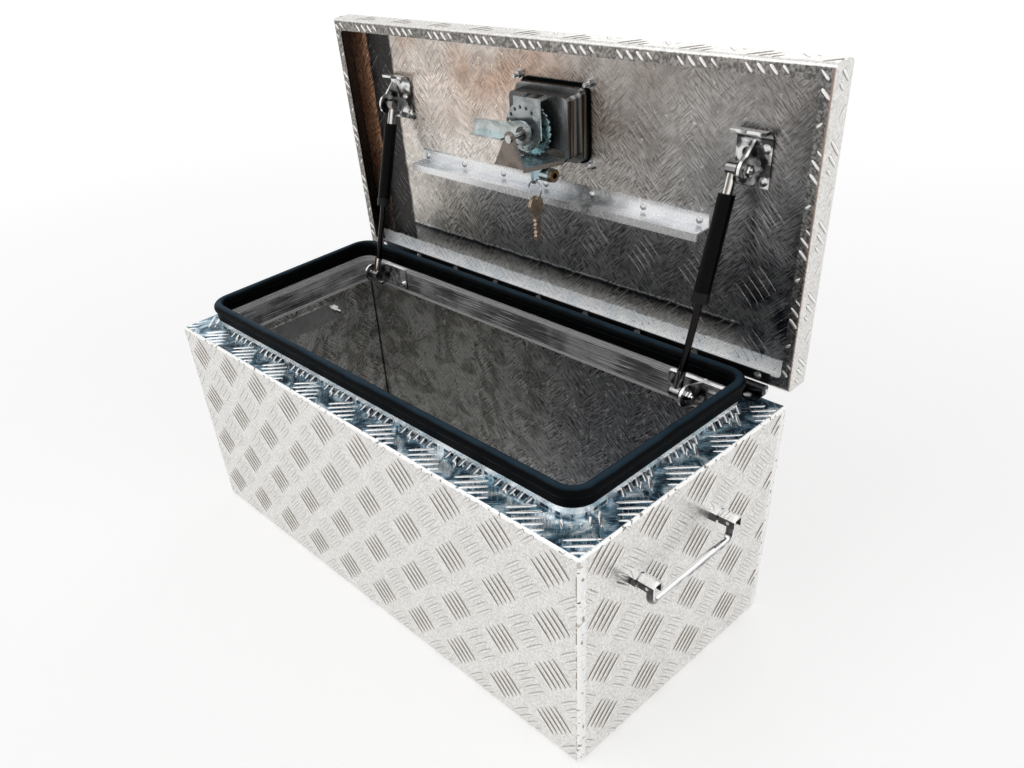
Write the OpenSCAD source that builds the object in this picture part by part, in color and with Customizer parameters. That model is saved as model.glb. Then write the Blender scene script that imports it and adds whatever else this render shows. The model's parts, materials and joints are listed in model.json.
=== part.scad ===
// Hinged tread-plate tool case: a bent and welded body, a shallow lid pan on a
// full-length hinge, two gas struts, a recessed T-handle latch and two drop handles.
// Millimetres. Origin: middle of the underside. +X right, -Y front, +Z up.
// The lid stands open, as it rests on its fully drawn-out struts.

/* [Body] */
// Length of the body, left to right
body_w = 750; // [650:10:1200]
// Depth of the body, front to back
body_d = 340; // [300:10:600]
// Height of the body up to its flange
body_h = 300; // [220:10:500]
// Thickness of the tread plate
plate_t = 2.5; // [2:0.5:4]
// Outer radius of the bends in the body
bend_r = 3.5; // [3:0.5:6]
// Top flange at the front and the ends, from the wall's face to the middle of the upstand
flange_w = 37; // [34:1:60]
// Top flange at the rear, from the wall's face to the middle of the upstand
flange_rear = 24; // [24:1:60]
// Thickness of the frame that lines the upstand
frame_t = 1.5; // [1:0.5:2.5]
// How far the frame hangs below the flange
frame_drop = 28; // [20:1:60]
// Corner radius of the upstand, at the middle of its plate
upstand_r = 24; // [14:1:34]

/* [Lid] */
// Angle of the lid at rest, from closed
lid_open = 88; // [75:1:95]
// Height of the lid's walls
lid_h = 28; // [24:1:60]
// How far the lid's ends stand in from the body's ends
lid_inset = 3; // [1:0.5:5]
// How far the lid's front stands behind the body's front
lid_short = 8; // [4:1:12]
// How far the lid's rear stands behind the body's rear
lid_back = 2; // [1:0.5:3]
// Outer radius of the lid's bends
lid_r = 5; // [3:0.5:8]
// Plan radius of the lid's corners
lid_corner = 8; // [6:1:16]
// Width of the lip that turns in round the lid's rim
lip_w = 15; // [12:1:24]
// How far the lid's stiffener stops short of the body's ends
stiff_in = 136; // [120:1:200]
// Depth of the stiffener's shelf, away from the panel
stiff_d = 24; // [12:1:28]
// Height of the stiffener's leg, along the panel
stiff_leg = 16; // [10:1:30]
// Stiffener's shelf, from the hinge pin
stiff_u = 152; // [120:1:170]

/* [Seal] */
// Diameter of the bulb on the seal
bulb_d = 14; // [10:0.5:18]
// Width of the clip under the bulb
clip_w = 9; // [7:0.5:12]
// Height of the clip on the upstand
clip_h = 10; // [8:0.5:14]

/* [Hinge] */
// Outer diameter of the knuckles, which is also the gap under the closed lid
knuckle_d = 12; // [9:0.5:16]
// Diameter of the hinge pin
pin_d = 5; // [3:0.5:6]
// Thickness of the leaves
leaf_t = 1.6; // [1.2:0.2:2.4]
// Width of each leaf, from the pin's axis
leaf_w = 18; // [16:1:22]
// How far the hinge stops short of the body's ends
hinge_in = 30; // [22:1:120]
// Distance of the pin's axis behind the body's rear face
pin_back = 3.5; // [2:0.5:5]
// Number of knuckles
knuckles = 23; // [11:2:31]
// Number of rivets in each leaf
leaf_rivets = 9; // [3:1:13]

/* [Struts] */
// Struts, in from the body's ends
strut_in = 102; // [90:1:130]
// Lid ball, from the hinge pin along the lid
ball_u = 228.5; // [200:0.5:250]
// Lid ball, from the panel's inner face
ball_off = 17; // [16:0.5:24]
// Body ball, in front of the rear upstand
body_ball_off = 32; // [26:1:50]
// Body ball, above the flange
body_ball_up = 6; // [4:1:16]
// Diameter of the strut's tube
tube_d = 18; // [15:1:22]
// Length of the strut's tube
tube_l = 112; // [105:1:125]
// Diameter of the strut's rod
rod_d = 8; // [6:0.5:10]
// Diameter of the balls
ball_d = 10; // [8:1:12]
// Diameter of the ball sockets
socket_d = 14; // [13:0.5:18]
// Length of a socket fitting, from the ball to the tube or rod
socket_l = 25; // [20:1:30]
// Thickness of the bracket plates
ear_t = 3; // [2:0.5:4]

/* [Latch] */
// Middle of the latch, right of the lid's middle
latch_x = 19; // [-30:1:30]
// Middle of the latch, from the hinge pin
latch_u = 240; // [225:1:250]
// Width of the recessed dish
dish_w = 92; // [84:1:110]
// Height of the recessed dish, along the lid
dish_d = 72; // [70:1:80]
// Depth of the dish below the panel's inner face
dish_h = 30; // [26:1:40]
// Thickness of the dish's sheet
dish_t = 1.5; // [1:0.5:2]
// Distance between the dish's studs, across
stud_x = 110; // [106:1:126]
// Distance between the dish's studs, along the lid
stud_y = 92; // [88:1:100]
// Diameter of the latch's spindle
spindle_d = 16; // [12:1:18]
// Length of the spindle below the dish
spindle_l = 33; // [32:1:40]
// Reach of the cam from the spindle
cam_reach = 80; // [74:1:84]
// Number of holes round the index plate
index_holes = 11; // [6:1:14]

/* [Carry handles] */
// Distance between the posts of a handle
post_gap = 134; // [110:1:160]
// Height of the posts above the underside
post_z = 228; // [150:1:260]
// Middle of the handle, behind the middle of the body
post_y = -22; // [-30:1:30]
// Width of a post across its flats
post_af = 15; // [13:0.5:18]
// Length of a post, away from the wall
post_l = 30; // [28:0.5:36]
// Diameter of the handle's bar
bail_d = 9; // [8:0.5:10]
// Drop of the bar below the posts
bail_drop = 24; // [20:1:40]

/* [Hidden] */
$fn = 48;
eps = 0.01;
rub = 0.3;         // gap between soft or resting pieces that only just meet
run = 0.06;        // radial running clearance

// Places that follow from the sizes above
knuckle_r = knuckle_d / 2;
pin_y = body_d / 2 + pin_back;
pin_z = body_h + knuckle_r;
rim_z = body_h + knuckle_d;
lid_w = body_w - 2 * lid_inset;
lid_d = body_d - lid_short + lid_back;
lid_y = (lid_short + lid_back) / 2;
lid_top = rim_z + lid_h;
panel_in = lid_top - plate_t;
upstand_top = panel_in - rub - bulb_d + 2;
upstand_h = upstand_top - body_h;
clip_bottom = upstand_top - clip_h;
rear_in = body_d / 2 - flange_rear - plate_t / 2 - frame_t;
front_in = -body_d / 2 + flange_w + plate_t / 2 + frame_t;

// ---------- helpers ----------

// rectangle with round corners, centred
module round_rect(w, d, r) {
  square([w - 2 * r, d], center = true);
  square([w, d - 2 * r], center = true);
  for (x = [-1, 1], y = [-1, 1])
    translate([x * (w / 2 - r), y * (d / 2 - r)]) circle(r = r);
}

// box with its long edges rounded, and its upright edges rounded by rc
module bent_box(w, d, h, r, rc) {
  intersection() {
    translate([-w / 2, 0, h / 2]) rotate([90, 0, 90]) linear_extrude(w) round_rect(d, h, r);
    translate([0, d / 2, h / 2]) rotate([90, 0, 0]) linear_extrude(d) round_rect(w, h, r);
    linear_extrude(h) round_rect(w, d, rc);
  }
}

// draws the children, and their mirror image for the left side
module side(s) {
  if (s > 0) children();
  else mirror([1, 0, 0]) children();
}

// children are drawn for the closed lid, and carried round the pin to where it rests open
module on_lid() {
  translate([0, pin_y, pin_z]) rotate([-lid_open, 0, 0]) translate([0, -pin_y, -pin_z]) children();
}

// profile (x across, y up) swept round a rectangle with round corners
module sweep_ring(w, d, r) {
  for (s = [-1, 1]) {
    translate([-(w / 2 - r), s * d / 2, 0]) rotate([90, 0, 90]) linear_extrude(w - 2 * r) children();
    translate([s * w / 2, d / 2 - r, 0]) rotate([90, 0, 0]) linear_extrude(d - 2 * r) children();
  }
  for (q = [0 : 3])
    translate([(q == 0 || q == 3 ? 1 : -1) * (w / 2 - r), (q < 2 ? 1 : -1) * (d / 2 - r), 0])
      rotate([0, 0, q * 90]) rotate_extrude(angle = 90) translate([r, 0]) children();
}

// bar along X from the origin
module bar_x(d, l) { rotate([0, 90, 0]) cylinder(d = d, h = l); }

// hexagon bar along X, width across flats af, with flats facing +Y and -Y
module hex_x(af, l) { rotate([0, 90, 0]) cylinder(d = af / cos(30), h = l, $fn = 6); }

// blind rivet: flat dome head above z = 0, shank and crimped tail below a stack of thickness t
module rivet(t, head = 9.5, shank = 4.8) {
  intersection() {
    cylinder(d = head, h = 1.8);
    translate([0, 0, 1.8 - head]) sphere(r = head);
  }
  translate([0, 0, -t - 2.5]) cylinder(d = shank, h = t + 2.5 + eps);
  translate([0, 0, -t - 2.5]) cylinder(d = shank + 2, h = 2.5);
}

// ---------- body ----------

up_w = body_w - 2 * flange_w;                    // upstand's middle line, length and depth
up_d = body_d - flange_w - flange_rear;
up_y = (flange_w - flange_rear) / 2;
hinge_l = body_w - 2 * hinge_in;
stiff_l = body_w - 2 * stiff_in;
strut_x = body_w / 2 - strut_in;

module body_shell() {
  difference() {
    bent_box(body_w, body_d, body_h, bend_r, plate_t);
    translate([-body_w / 2 + plate_t, -body_d / 2 + plate_t, plate_t])
      cube([body_w - 2 * plate_t, body_d - 2 * plate_t, body_h - 2 * plate_t]);
    translate([0, up_y, body_h - 2 * plate_t]) linear_extrude(3 * plate_t)
      round_rect(up_w - plate_t, up_d - plate_t, upstand_r - plate_t / 2);
  }
  translate([0, up_y, body_h - plate_t]) linear_extrude(upstand_h + plate_t) difference() {
    round_rect(up_w + plate_t, up_d + plate_t, upstand_r + plate_t / 2);
    round_rect(up_w - plate_t, up_d - plate_t, upstand_r - plate_t / 2);
  }
}

// the part of the flange and upstand that an end plate carries, between two mitres
module end_wedge() {
  translate([0, 0, body_h - plate_t]) linear_extrude(upstand_h + 2 * plate_t) polygon([
    [body_w / 2, -body_d / 2], [body_w / 2, body_d / 2],
    [body_w / 2 - 2 * flange_w, body_d / 2 - 2 * flange_rear],
    [body_w / 2 - 2 * flange_w, -body_d / 2 + 2 * flange_w]]);
}

module body_wrapper() {
  color([0.80, 0.79, 0.77]) difference() {
    body_shell();
    for (s = [1, -1]) side(s) {
      end_wedge();
      translate([body_w / 2 - plate_t, -body_d, -1]) cube([2 * plate_t, 2 * body_d, body_h - plate_t + 1]);
    }
    for (i = [0 : leaf_rivets - 1])
      translate([rivet_x(i), pin_y - rivet_in, body_h - 2 * plate_t]) cylinder(d = 4.8, h = 3 * plate_t);
  }
}

module end_plate(s) {
  color([0.82, 0.81, 0.79]) difference() {
    intersection() {
      body_shell();
      side(s) union() {
        end_wedge();
        translate([body_w / 2 - plate_t, -body_d / 2 + plate_t, 0])
          cube([plate_t, body_d - 2 * plate_t, body_h - plate_t]);
      }
    }
    at_posts(s) translate([-2 * plate_t, 0, 0]) bar_x(8, 3 * plate_t);
  }
}

module corner_welds() {
  color([0.72, 0.72, 0.72]) intersection() {
    body_shell();
    for (x = [-1, 1], y = [-1, 1])
      translate([x * (body_w - plate_t) / 2, y * (body_d - plate_t) / 2, (body_h - plate_t) / 2])
        cube([plate_t, plate_t, body_h - plate_t], center = true);
  }
}

// thin frame inside the upstand, its lower edge notched at the front for the latch's cam
module rim_frame() {
  color([0.80, 0.80, 0.80]) difference() {
    translate([0, up_y, body_h - frame_drop]) linear_extrude(clip_bottom - body_h + frame_drop) difference() {
      round_rect(up_w - plate_t, up_d - plate_t, upstand_r - plate_t / 2);
      round_rect(up_w - plate_t - 2 * frame_t, up_d - plate_t - 2 * frame_t, upstand_r - plate_t / 2 - frame_t);
    }
    translate([latch_x - cam_reach, front_in - 4 * frame_t, body_h - frame_drop - 1])
      cube([cam_reach + 30, 8 * frame_t, notch_h + 1]);
    at_body_screws() translate([0, 0, -ear_t - 2 * frame_t]) cylinder(d = 5, h = 2 * frame_t + 1);
  }
}

module lid_seal() {
  color([0.07, 0.08, 0.09]) translate([0, up_y, 0]) sweep_ring(up_w, up_d, upstand_r) difference() {
    union() {
      translate([0, upstand_top - 2 + bulb_d / 2]) circle(d = bulb_d);
      translate([-clip_w / 2, clip_bottom]) square([clip_w, clip_h + bulb_d / 4]);
    }
    translate([-plate_t / 2 - 0.05, clip_bottom - 1]) square([plate_t + 0.1, clip_h + 1.05]);
    translate([0, upstand_top - 2 + bulb_d / 2 + 1]) circle(d = bulb_d - 5);
  }
}

// ---------- hinge ----------

knuckle_l = hinge_l / knuckles;
leaf_in = knuckle_r + 0.5;     // where a leaf stops short of the other leaf's knuckles
function rivet_x(i) = -hinge_l / 2 + 14 + i * (hinge_l - 28) / (leaf_rivets - 1);
rivet_in = (leaf_w + leaf_in) / 2;

// one leaf, lying on z = 0 under the pin's axis, its knuckles at every second place from first
module hinge_leaf(first) {
  difference() {
    union() {
      translate([-hinge_l / 2, -leaf_w, 0]) cube([hinge_l, leaf_w - leaf_in, leaf_t]);
      for (i = [first : 2 : knuckles - 1]) {
        translate([-hinge_l / 2 + i * knuckle_l + 0.2, -leaf_in - 1, 0])
          cube([knuckle_l - 0.4, leaf_in + 1, leaf_t]);
        translate([-hinge_l / 2 + i * knuckle_l + 0.2, 0, knuckle_r]) bar_x(knuckle_d, knuckle_l - 0.4);
      }
    }
    translate([-hinge_l, 0, knuckle_r]) bar_x(pin_d + 2 * run, 2 * hinge_l);
    for (i = [0 : leaf_rivets - 1])
      translate([rivet_x(i), -rivet_in, -1]) cylinder(d = 4.8, h = leaf_t + 2);
  }
}

module hinge_leaf_body() {
  color([0.25, 0.26, 0.28]) translate([0, pin_y, body_h]) hinge_leaf(0);
}

module hinge_leaf_lid() {
  color([0.25, 0.26, 0.28]) on_lid() translate([0, pin_y, rim_z]) mirror([0, 0, 1]) hinge_leaf(1);
}

module hinge_pin() {
  color([0.6, 0.6, 0.62]) translate([-hinge_l / 2 - 1.5, pin_y, pin_z]) bar_x(pin_d, hinge_l + 3);
}

module hinge_rivets_body() {
  color([0.5, 0.5, 0.52]) translate([0, pin_y - rivet_in, body_h + leaf_t])
    for (i = [0 : leaf_rivets - 1]) translate([rivet_x(i), 0, 0]) rivet(leaf_t + plate_t);
}

module hinge_rivets_lid() {
  color([0.5, 0.5, 0.52]) on_lid() translate([0, pin_y - rivet_in, rim_z - leaf_t])
    for (i = [0 : leaf_rivets - 1]) translate([rivet_x(i), 0, 0]) mirror([0, 0, 1]) rivet(leaf_t + plate_t);
}

// ---------- struts ----------

body_ball_y = rear_in - body_ball_off;
body_ball_z = body_h + body_ball_up;
lid_ball_y = pin_y - ball_u;                     // with the lid closed
lid_ball_z = panel_in - ball_off;
open_ball_y = pin_y + (lid_ball_y - pin_y) * cos(lid_open) + (lid_ball_z - pin_z) * sin(lid_open);
open_ball_z = pin_z - (lid_ball_y - pin_y) * sin(lid_open) + (lid_ball_z - pin_z) * cos(lid_open);
strut_run = open_ball_y - body_ball_y;
strut_rise = open_ball_z - body_ball_z;
strut_l = sqrt(strut_run * strut_run + strut_rise * strut_rise);
strut_lean = atan2(strut_rise, strut_run);
stud_d = 6;                // shank of a ball stud
ear_gap = 11;              // from a ball's middle to its bracket's ear
ear_r = 13;
shank_gap = 7.3;           // where a lid stud's shank meets its ball's collar
collar_l = 11;             // of the gland, outside the tube
gland_l = 14;
rod_in = 22;               // how much of the rod is inside the tube, drawn out
tube_start = strut_l - socket_l - tube_l;

// children stand on the body ball's middle, +Z along the strut
module on_strut(s) {
  side(s) translate([strut_x, body_ball_y, body_ball_z]) rotate([strut_lean - 90, 0, 0]) children();
}

// socket head with its neck, threaded on to a stud at the far end
module socket_shape() {
  translate([-6, 0, 0]) bar_x(socket_d, 12);
  cylinder(d = 10.5, h = socket_l);
}

// washer and nut round a ball stud
module stud_nut() {
  difference() {
    union() {
      bar_x(13, 1.2);
      translate([1.2, 0, 0]) hex_x(10, 5);
    }
    translate([-1, 0, 0]) bar_x(stud_d, 9);
  }
}

module ball_pin(s) {
  color([0.75, 0.76, 0.78]) side(s) translate([strut_x, body_ball_y, body_ball_z]) {
    rotate([0, 90, 0]) rotate_extrude() {
      intersection() {
        circle(d = ball_d);
        translate([0, -ball_d]) square([ball_d, 2 * ball_d]);
      }
      square([stud_d / 2, ear_gap + ear_t + 8]);
      translate([0, ear_gap - 2]) square([5, 2]);
    }
    translate([ear_gap + ear_t, 0, 0]) stud_nut();
  }
}

module rod_socket(s) {
  color([0.72, 0.73, 0.75]) on_strut(s) difference() {
    socket_shape();
    translate([-ball_d / 2 - run, 0, 0]) bar_x(ball_d + 2 * run, socket_d);
    translate([0, 0, socket_l - 10]) cylinder(d = 5, h = 11);
  }
}

module strut_rod(s) {
  color([0.78, 0.79, 0.81]) on_strut(s) {
    translate([0, 0, socket_l - 10]) cylinder(d = 5, h = 11);
    translate([0, 0, socket_l]) cylinder(d = rod_d, h = tube_start + rod_in - socket_l);
    translate([0, 0, tube_start + rod_in - 6]) cylinder(d = tube_d - 4 - 2 * run, h = 5);
  }
}

module strut_gland(s) {
  color([0.2, 0.2, 0.21]) on_strut(s) translate([0, 0, tube_start]) difference() {
    union() {
      cylinder(d = tube_d + 1, h = collar_l);
      cylinder(d = tube_d - 4, h = gland_l);
    }
    translate([0, 0, -1]) cylinder(d = rod_d + 2 * run, h = gland_l + 2);
  }
}

module strut_tube(s) {
  color([0.05, 0.05, 0.06]) on_strut(s) translate([0, 0, tube_start]) difference() {
    translate([0, 0, collar_l]) cylinder(d = tube_d, h = tube_l - collar_l);
    translate([0, 0, collar_l - 1]) cylinder(d = tube_d - 4, h = tube_l - collar_l - 5);
  }
}

module tube_socket(s) {
  color([0.72, 0.73, 0.75]) on_strut(s) translate([0, 0, strut_l]) {
    mirror([0, 0, 1]) socket_shape();
    translate([5, 0, 0]) bar_x(10, shank_gap - 5 - rub);
  }
}

// bracket on the body: strap under the seal, and an ear out to the ball
module body_bracket() {
  translate([strut_x, rear_in, body_ball_z]) {
    translate([-32, -ear_t, -26]) difference() {
      cube([72, ear_t, 30]);
      for (x = [8, 64]) translate([x, -1, 6]) rotate([-90, 0, 0]) cylinder(d = 5, h = ear_t + 2);
      translate([52, -1, 20]) cube([12, ear_t + 2, 5]);
    }
    translate([ear_gap, 0, 0]) rotate([90, 0, 90]) linear_extrude(ear_t) difference() {
      union() {
        translate([-body_ball_off, 0]) circle(r = ear_r);
        polygon([[-body_ball_off, -ear_r], [-ear_t, -24], [-ear_t, 4], [-body_ball_off, ear_r]]);
      }
      translate([-body_ball_off, 0]) circle(d = stud_d);
    }
    translate([15, -ear_t - 12, -26]) difference() {
      cube([11, 12, ear_t]);
      translate([5.5, 5, -1]) cylinder(d = 5, h = ear_t + 2);
    }
  }
}

module body_brackets() {
  color([0.80, 0.81, 0.82]) for (s = [-1, 1]) side(s) body_bracket();
}

// where the screws go through the strap and the frame, +Z into the case
module at_body_screws() {
  for (s = [-1, 1], x = [-24, 32]) side(s)
    translate([strut_x + x, rear_in - ear_t, body_ball_z - 20]) rotate([90, 0, 0]) children();
}

module body_bracket_bolts() {
  color([0.75, 0.76, 0.78]) at_body_screws() {
    cylinder(d = 9, h = 3);
    translate([0, 0, -ear_t - frame_t - 6]) cylinder(d = 5, h = ear_t + frame_t + 6);
  }
}

module body_stud_nuts() {
  color([0.75, 0.76, 0.78]) at_body_screws() translate([0, 0, -ear_t - frame_t - 4]) difference() {
    cylinder(d = 9.2, h = 4, $fn = 6);
    translate([0, 0, -1]) cylinder(d = 5, h = 6);
  }
}

// ---------- lid ----------

module lid_shell() {
  translate([0, lid_y, rim_z]) difference() {
    bent_box(lid_w, lid_d, lid_h, lid_r, lid_corner);
    translate([0, 0, plate_t]) linear_extrude(lid_h - 2 * plate_t)
      round_rect(lid_w - 2 * plate_t, lid_d - 2 * plate_t, lid_corner - plate_t);
    translate([0, 0, -1]) linear_extrude(3 * plate_t)
      round_rect(lid_w - 2 * lip_w, lid_d - 2 * lip_w, 5);
  }
}

// an end of the lid with its wall and lip, between two mitres
module lid_wedge() {
  translate([0, lid_y, rim_z - 1]) linear_extrude(lid_h - plate_t + 1) polygon([
    [lid_w / 2 + 1, -lid_d / 2 - 1], [lid_w / 2 + 1, lid_d / 2 + 1],
    [lid_w / 2 - 2 * lip_w, lid_d / 2 - 2 * lip_w], [lid_w / 2 - 2 * lip_w, -lid_d / 2 + 2 * lip_w]]);
}

// where the latch stands, on the panel's inner face; +Y to the hinge, +Z out of the lid
module at_latch() {
  on_lid() translate([latch_x, pin_y - latch_u, panel_in]) children();
}

module at_studs() {
  for (x = [-1, 1], y = [-1, 1]) translate([x * stud_x / 2, y * stud_y / 2, 0]) children();
}

module at_stiffener_rivets() {
  for (i = [0 : 6]) translate([(i - 3) * (stiff_l - 24) / 6, pin_y - stiff_u - stiff_leg / 2, 0]) children();
}

// rivets of a lid bracket, from its ball; the left bracket lies inboard of its ear
function lid_rivets(s) = s > 0 ? [[-2, 14], [26, 14], [26, -18]] : [[-20, 14], [2, 14], [-20, -18]];

module at_lid_bolts() {
  for (s = [-1, 1]) side(s) for (p = lid_rivets(s))
    translate([strut_x + p[0], lid_ball_y + p[1], 0]) children();
}

module lid_wrapper() {
  color([0.55, 0.54, 0.53]) on_lid() difference() {
    lid_shell();
    for (s = [-1, 1]) side(s) lid_wedge();
    translate([latch_x, pin_y - latch_u, panel_in - 1]) {
      linear_extrude(2 * plate_t) round_rect(dish_w + 2 * step_w + 1, dish_d + 2 * step_w + 1, step_r + 0.5);
      at_studs() cylinder(d = 5, h = 2 * plate_t);
    }
    translate([0, 0, panel_in - 1]) {
      at_stiffener_rivets() cylinder(d = 4, h = 2 * plate_t);
      at_lid_bolts() cylinder(d = 5, h = 2 * plate_t);
    }
    for (i = [0 : leaf_rivets - 1])
      translate([rivet_x(i), pin_y - rivet_in, rim_z - 1]) cylinder(d = 4.8, h = 2 * plate_t);
  }
}

module lid_end(s) {
  color([0.6, 0.59, 0.58]) on_lid() intersection() {
    lid_shell();
    side(s) lid_wedge();
  }
}

module lid_stiffener() {
  color([0.78, 0.78, 0.78]) on_lid() difference() {
    translate([-stiff_l / 2, pin_y - stiff_u, panel_in]) {
      translate([0, -stiff_leg, -2]) cube([stiff_l, stiff_leg, 2]);
      translate([0, -2, -stiff_d]) cube([stiff_l, 2, stiff_d]);
      translate([0, -2, -stiff_d]) cube([stiff_l, 9, 2]);
    }
    translate([0, 0, panel_in - 3]) at_stiffener_rivets() cylinder(d = 4, h = 4);
  }
}

module stiffener_rivets() {
  color([0.75, 0.75, 0.75]) on_lid() translate([0, 0, panel_in - 2])
    at_stiffener_rivets() mirror([0, 0, 1]) rivet(2 + plate_t, 8, 4);
}

// plate riveted to the panel, its top bent out as a hood, with an ear out to the ball
module lid_bracket(s) {
  base_x = s > 0 ? -8 : -26;
  base_w = 40;
  hood_r = 12;
  hood_y = -26;                // where the plate starts to bend
  translate([strut_x, lid_ball_y, panel_in]) {
    difference() {
      translate([base_x, hood_y, -ear_t]) cube([base_w, 21 - hood_y, ear_t]);
      translate([base_x + 13, -12, -ear_t - 1]) cylinder(d = 12, h = ear_t + 2);
      for (p = lid_rivets(s)) translate([p[0], p[1], -ear_t - 1]) cylinder(d = 5, h = ear_t + 2);
    }
    translate([base_x, 0, 0]) rotate([90, 0, 90]) linear_extrude(base_w) {
      difference() {
        translate([hood_y, -hood_r]) circle(r = hood_r);
        translate([hood_y, -hood_r]) circle(r = hood_r - ear_t);
        translate([hood_y, -2 * hood_r - 1]) square(2 * hood_r + 2);
        translate([hood_y - 2 * hood_r, -3 * hood_r]) square(2 * hood_r);
      }
      translate([hood_y - hood_r, -hood_r - 5]) square([ear_t, 5]);
    }
    translate([ear_gap, 0, 0]) rotate([90, 0, 90]) linear_extrude(ear_t) difference() {
      union() {
        translate([0, -ball_off]) circle(r = ear_r);
        polygon([[-ear_r, -ball_off], [hood_y, -ear_t], [20, -ear_t], [ear_r, -ball_off]]);
      }
      translate([0, -ball_off]) circle(d = stud_d);
    }
  }
}

module lid_brackets() {
  color([0.78, 0.78, 0.79]) on_lid() for (s = [-1, 1]) side(s) lid_bracket(s);
}

// the shanks and nuts of the lid's ball studs; the balls turn with the struts
module lid_ball_studs() {
  color([0.75, 0.76, 0.78]) on_lid() for (s = [-1, 1]) side(s)
    translate([strut_x, lid_ball_y, lid_ball_z]) {
      translate([shank_gap, 0, 0]) bar_x(stud_d, ear_gap + ear_t + 8 - shank_gap);
      translate([shank_gap, 0, 0]) bar_x(9, ear_gap - shank_gap);
      translate([ear_gap + ear_t, 0, 0]) stud_nut();
    }
}

module lid_bracket_bolts() {
  color([0.7, 0.7, 0.71]) on_lid() translate([0, 0, panel_in - ear_t])
    at_lid_bolts() mirror([0, 0, 1]) rivet(ear_t + plate_t, 10, 5);
}

// ---------- latch ----------

floor_z = -dish_h;                  // outside of the dish's floor
step_w = 6;                         // the dish is wider by this up to its step
step_z = -13;
dish_r = 7;
step_r = dish_r + step_w - 2;
hub_d = 34;
fold_y = -11;                       // the T-handle's pin, from the spindle
fold_z = floor_z + dish_t + 10;
grip_d = 10;
grip_l = 54;
grip_reach = 26;
bush_h = 8;
wheel_z = floor_z - 12;             // toothed index plate
disc_z = floor_z - 20;              // detent plate with its row of holes
disc_r = 27.5;
disc_x = -5.5;                      // middle of its row of holes, from the spindle
disc_y = -4;
cam_z = floor_z - spindle_l + 4;    // lower face of the cam's arm
cam_t = 2.5;
web_z = cam_z - 20;                 // lower face of the bracket's front web
shelf_y = 31;
wheel_r = shelf_y - 1;
key_x = 8;
barrel_x = 17;
barrel_y = 46;
barrel_z = -50;
barrel_r = 8;
lip_y = barrel_y - 1.5 - barrel_r;  // the bracket's lip stops short of the barrel
bush_rim = 12;
catch_w = 14;
catch_run = 36;
eye_y = 55;
ring_r = 10;
wire_d = 1.8;
ring_top = eye_y + 1.5;             // where the ring hangs in the hook's eye
key_hole_y = ring_top + 2 * ring_r + 1.5;
notch_h = panel_in + cam_z + cam_t + 2 - (body_h - frame_drop);

module latch_dish() {
  wide = dish_w + 2 * step_w;
  high = dish_d + 2 * step_w;
  color([0.62, 0.62, 0.63]) at_latch() difference() {
    union() {
      translate([0, 0, floor_z]) linear_extrude(dish_h) round_rect(dish_w, dish_d, dish_r);
      translate([0, 0, step_z]) linear_extrude(plate_t + dish_t - step_z) round_rect(wide, high, step_r);
      translate([0, 0, plate_t]) linear_extrude(dish_t) round_rect(stud_x + 14, stud_y + 14, 8);
    }
    translate([0, 0, floor_z + dish_t]) linear_extrude(dish_h + 2 * plate_t)
      round_rect(dish_w - 2 * dish_t, dish_d - 2 * dish_t, dish_r - dish_t);
    translate([0, 0, step_z + dish_t]) linear_extrude(dish_h)
      round_rect(wide - 2 * dish_t, high - 2 * dish_t, step_r - dish_t);
    translate([0, 0, floor_z - 1]) cylinder(d = spindle_d + 4, h = dish_t + 2);
    at_studs() cylinder(d = 5, h = 10);
  }
}

module latch_gasket() {
  wide = dish_w + 2 * step_w;
  high = dish_d + 2 * step_w;
  color([0.04, 0.04, 0.045]) at_latch() translate([0, 0, -2]) difference() {
    linear_extrude(2) round_rect(wide + 6, high + 6, step_r + 3);
    translate([0, 0, -1]) linear_extrude(4) round_rect(wide, high, step_r);
  }
}

// studs with their outer heads, and the washers and nuts inside the lid
module latch_studs() {
  color([0.78, 0.78, 0.8]) at_latch() at_studs() {
    translate([0, 0, -12]) cylinder(d = 5, h = 12 + plate_t + dish_t);
    translate([0, 0, plate_t + dish_t]) cylinder(d = 9, h = 1.5);
    translate([0, 0, -1]) cylinder(d = 12, h = 1);
    translate([0, 0, -6]) cylinder(d = 9.2, h = 5, $fn = 6);
  }
}

module t_handle_hub() {
  color([0.7, 0.7, 0.72]) at_latch() difference() {
    union() {
      translate([0, 0, floor_z + dish_t + 1.1]) cylinder(d = hub_d, h = 3);
      translate([0, 0, cam_z - 1]) cylinder(d = spindle_d, h = floor_z + dish_t + 3 - cam_z);
      for (x = [-10, 5.4]) translate([x, 0, 0]) rotate([90, 0, 90]) linear_extrude(4.6) {
        translate([fold_y, fold_z]) circle(r = 5);
        translate([fold_y - 5, floor_z + dish_t + 3]) square([10, fold_z - floor_z - dish_t - 3]);
      }
    }
    translate([-12, fold_y, fold_z]) bar_x(4, 24);
    translate([0, 0, cam_z - 2]) cylinder(d = 6, h = 12);
  }
}

module t_handle() {
  color([0.7, 0.7, 0.72]) at_latch() difference() {
    translate([0, fold_y, fold_z]) {
      translate([-5.1, 0, 0]) bar_x(9, 10.2);
      translate([-5.1, 0, -4]) cube([10.2, grip_reach, 8]);
      translate([-grip_l / 2, grip_reach, 0]) bar_x(grip_d, grip_l);
    }
    translate([-12, fold_y, fold_z]) bar_x(4 + 2 * run, 24);
  }
}

module t_handle_pin() {
  color([0.8, 0.8, 0.8]) at_latch() translate([-10, fold_y, fold_z]) bar_x(4, 20);
}

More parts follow.
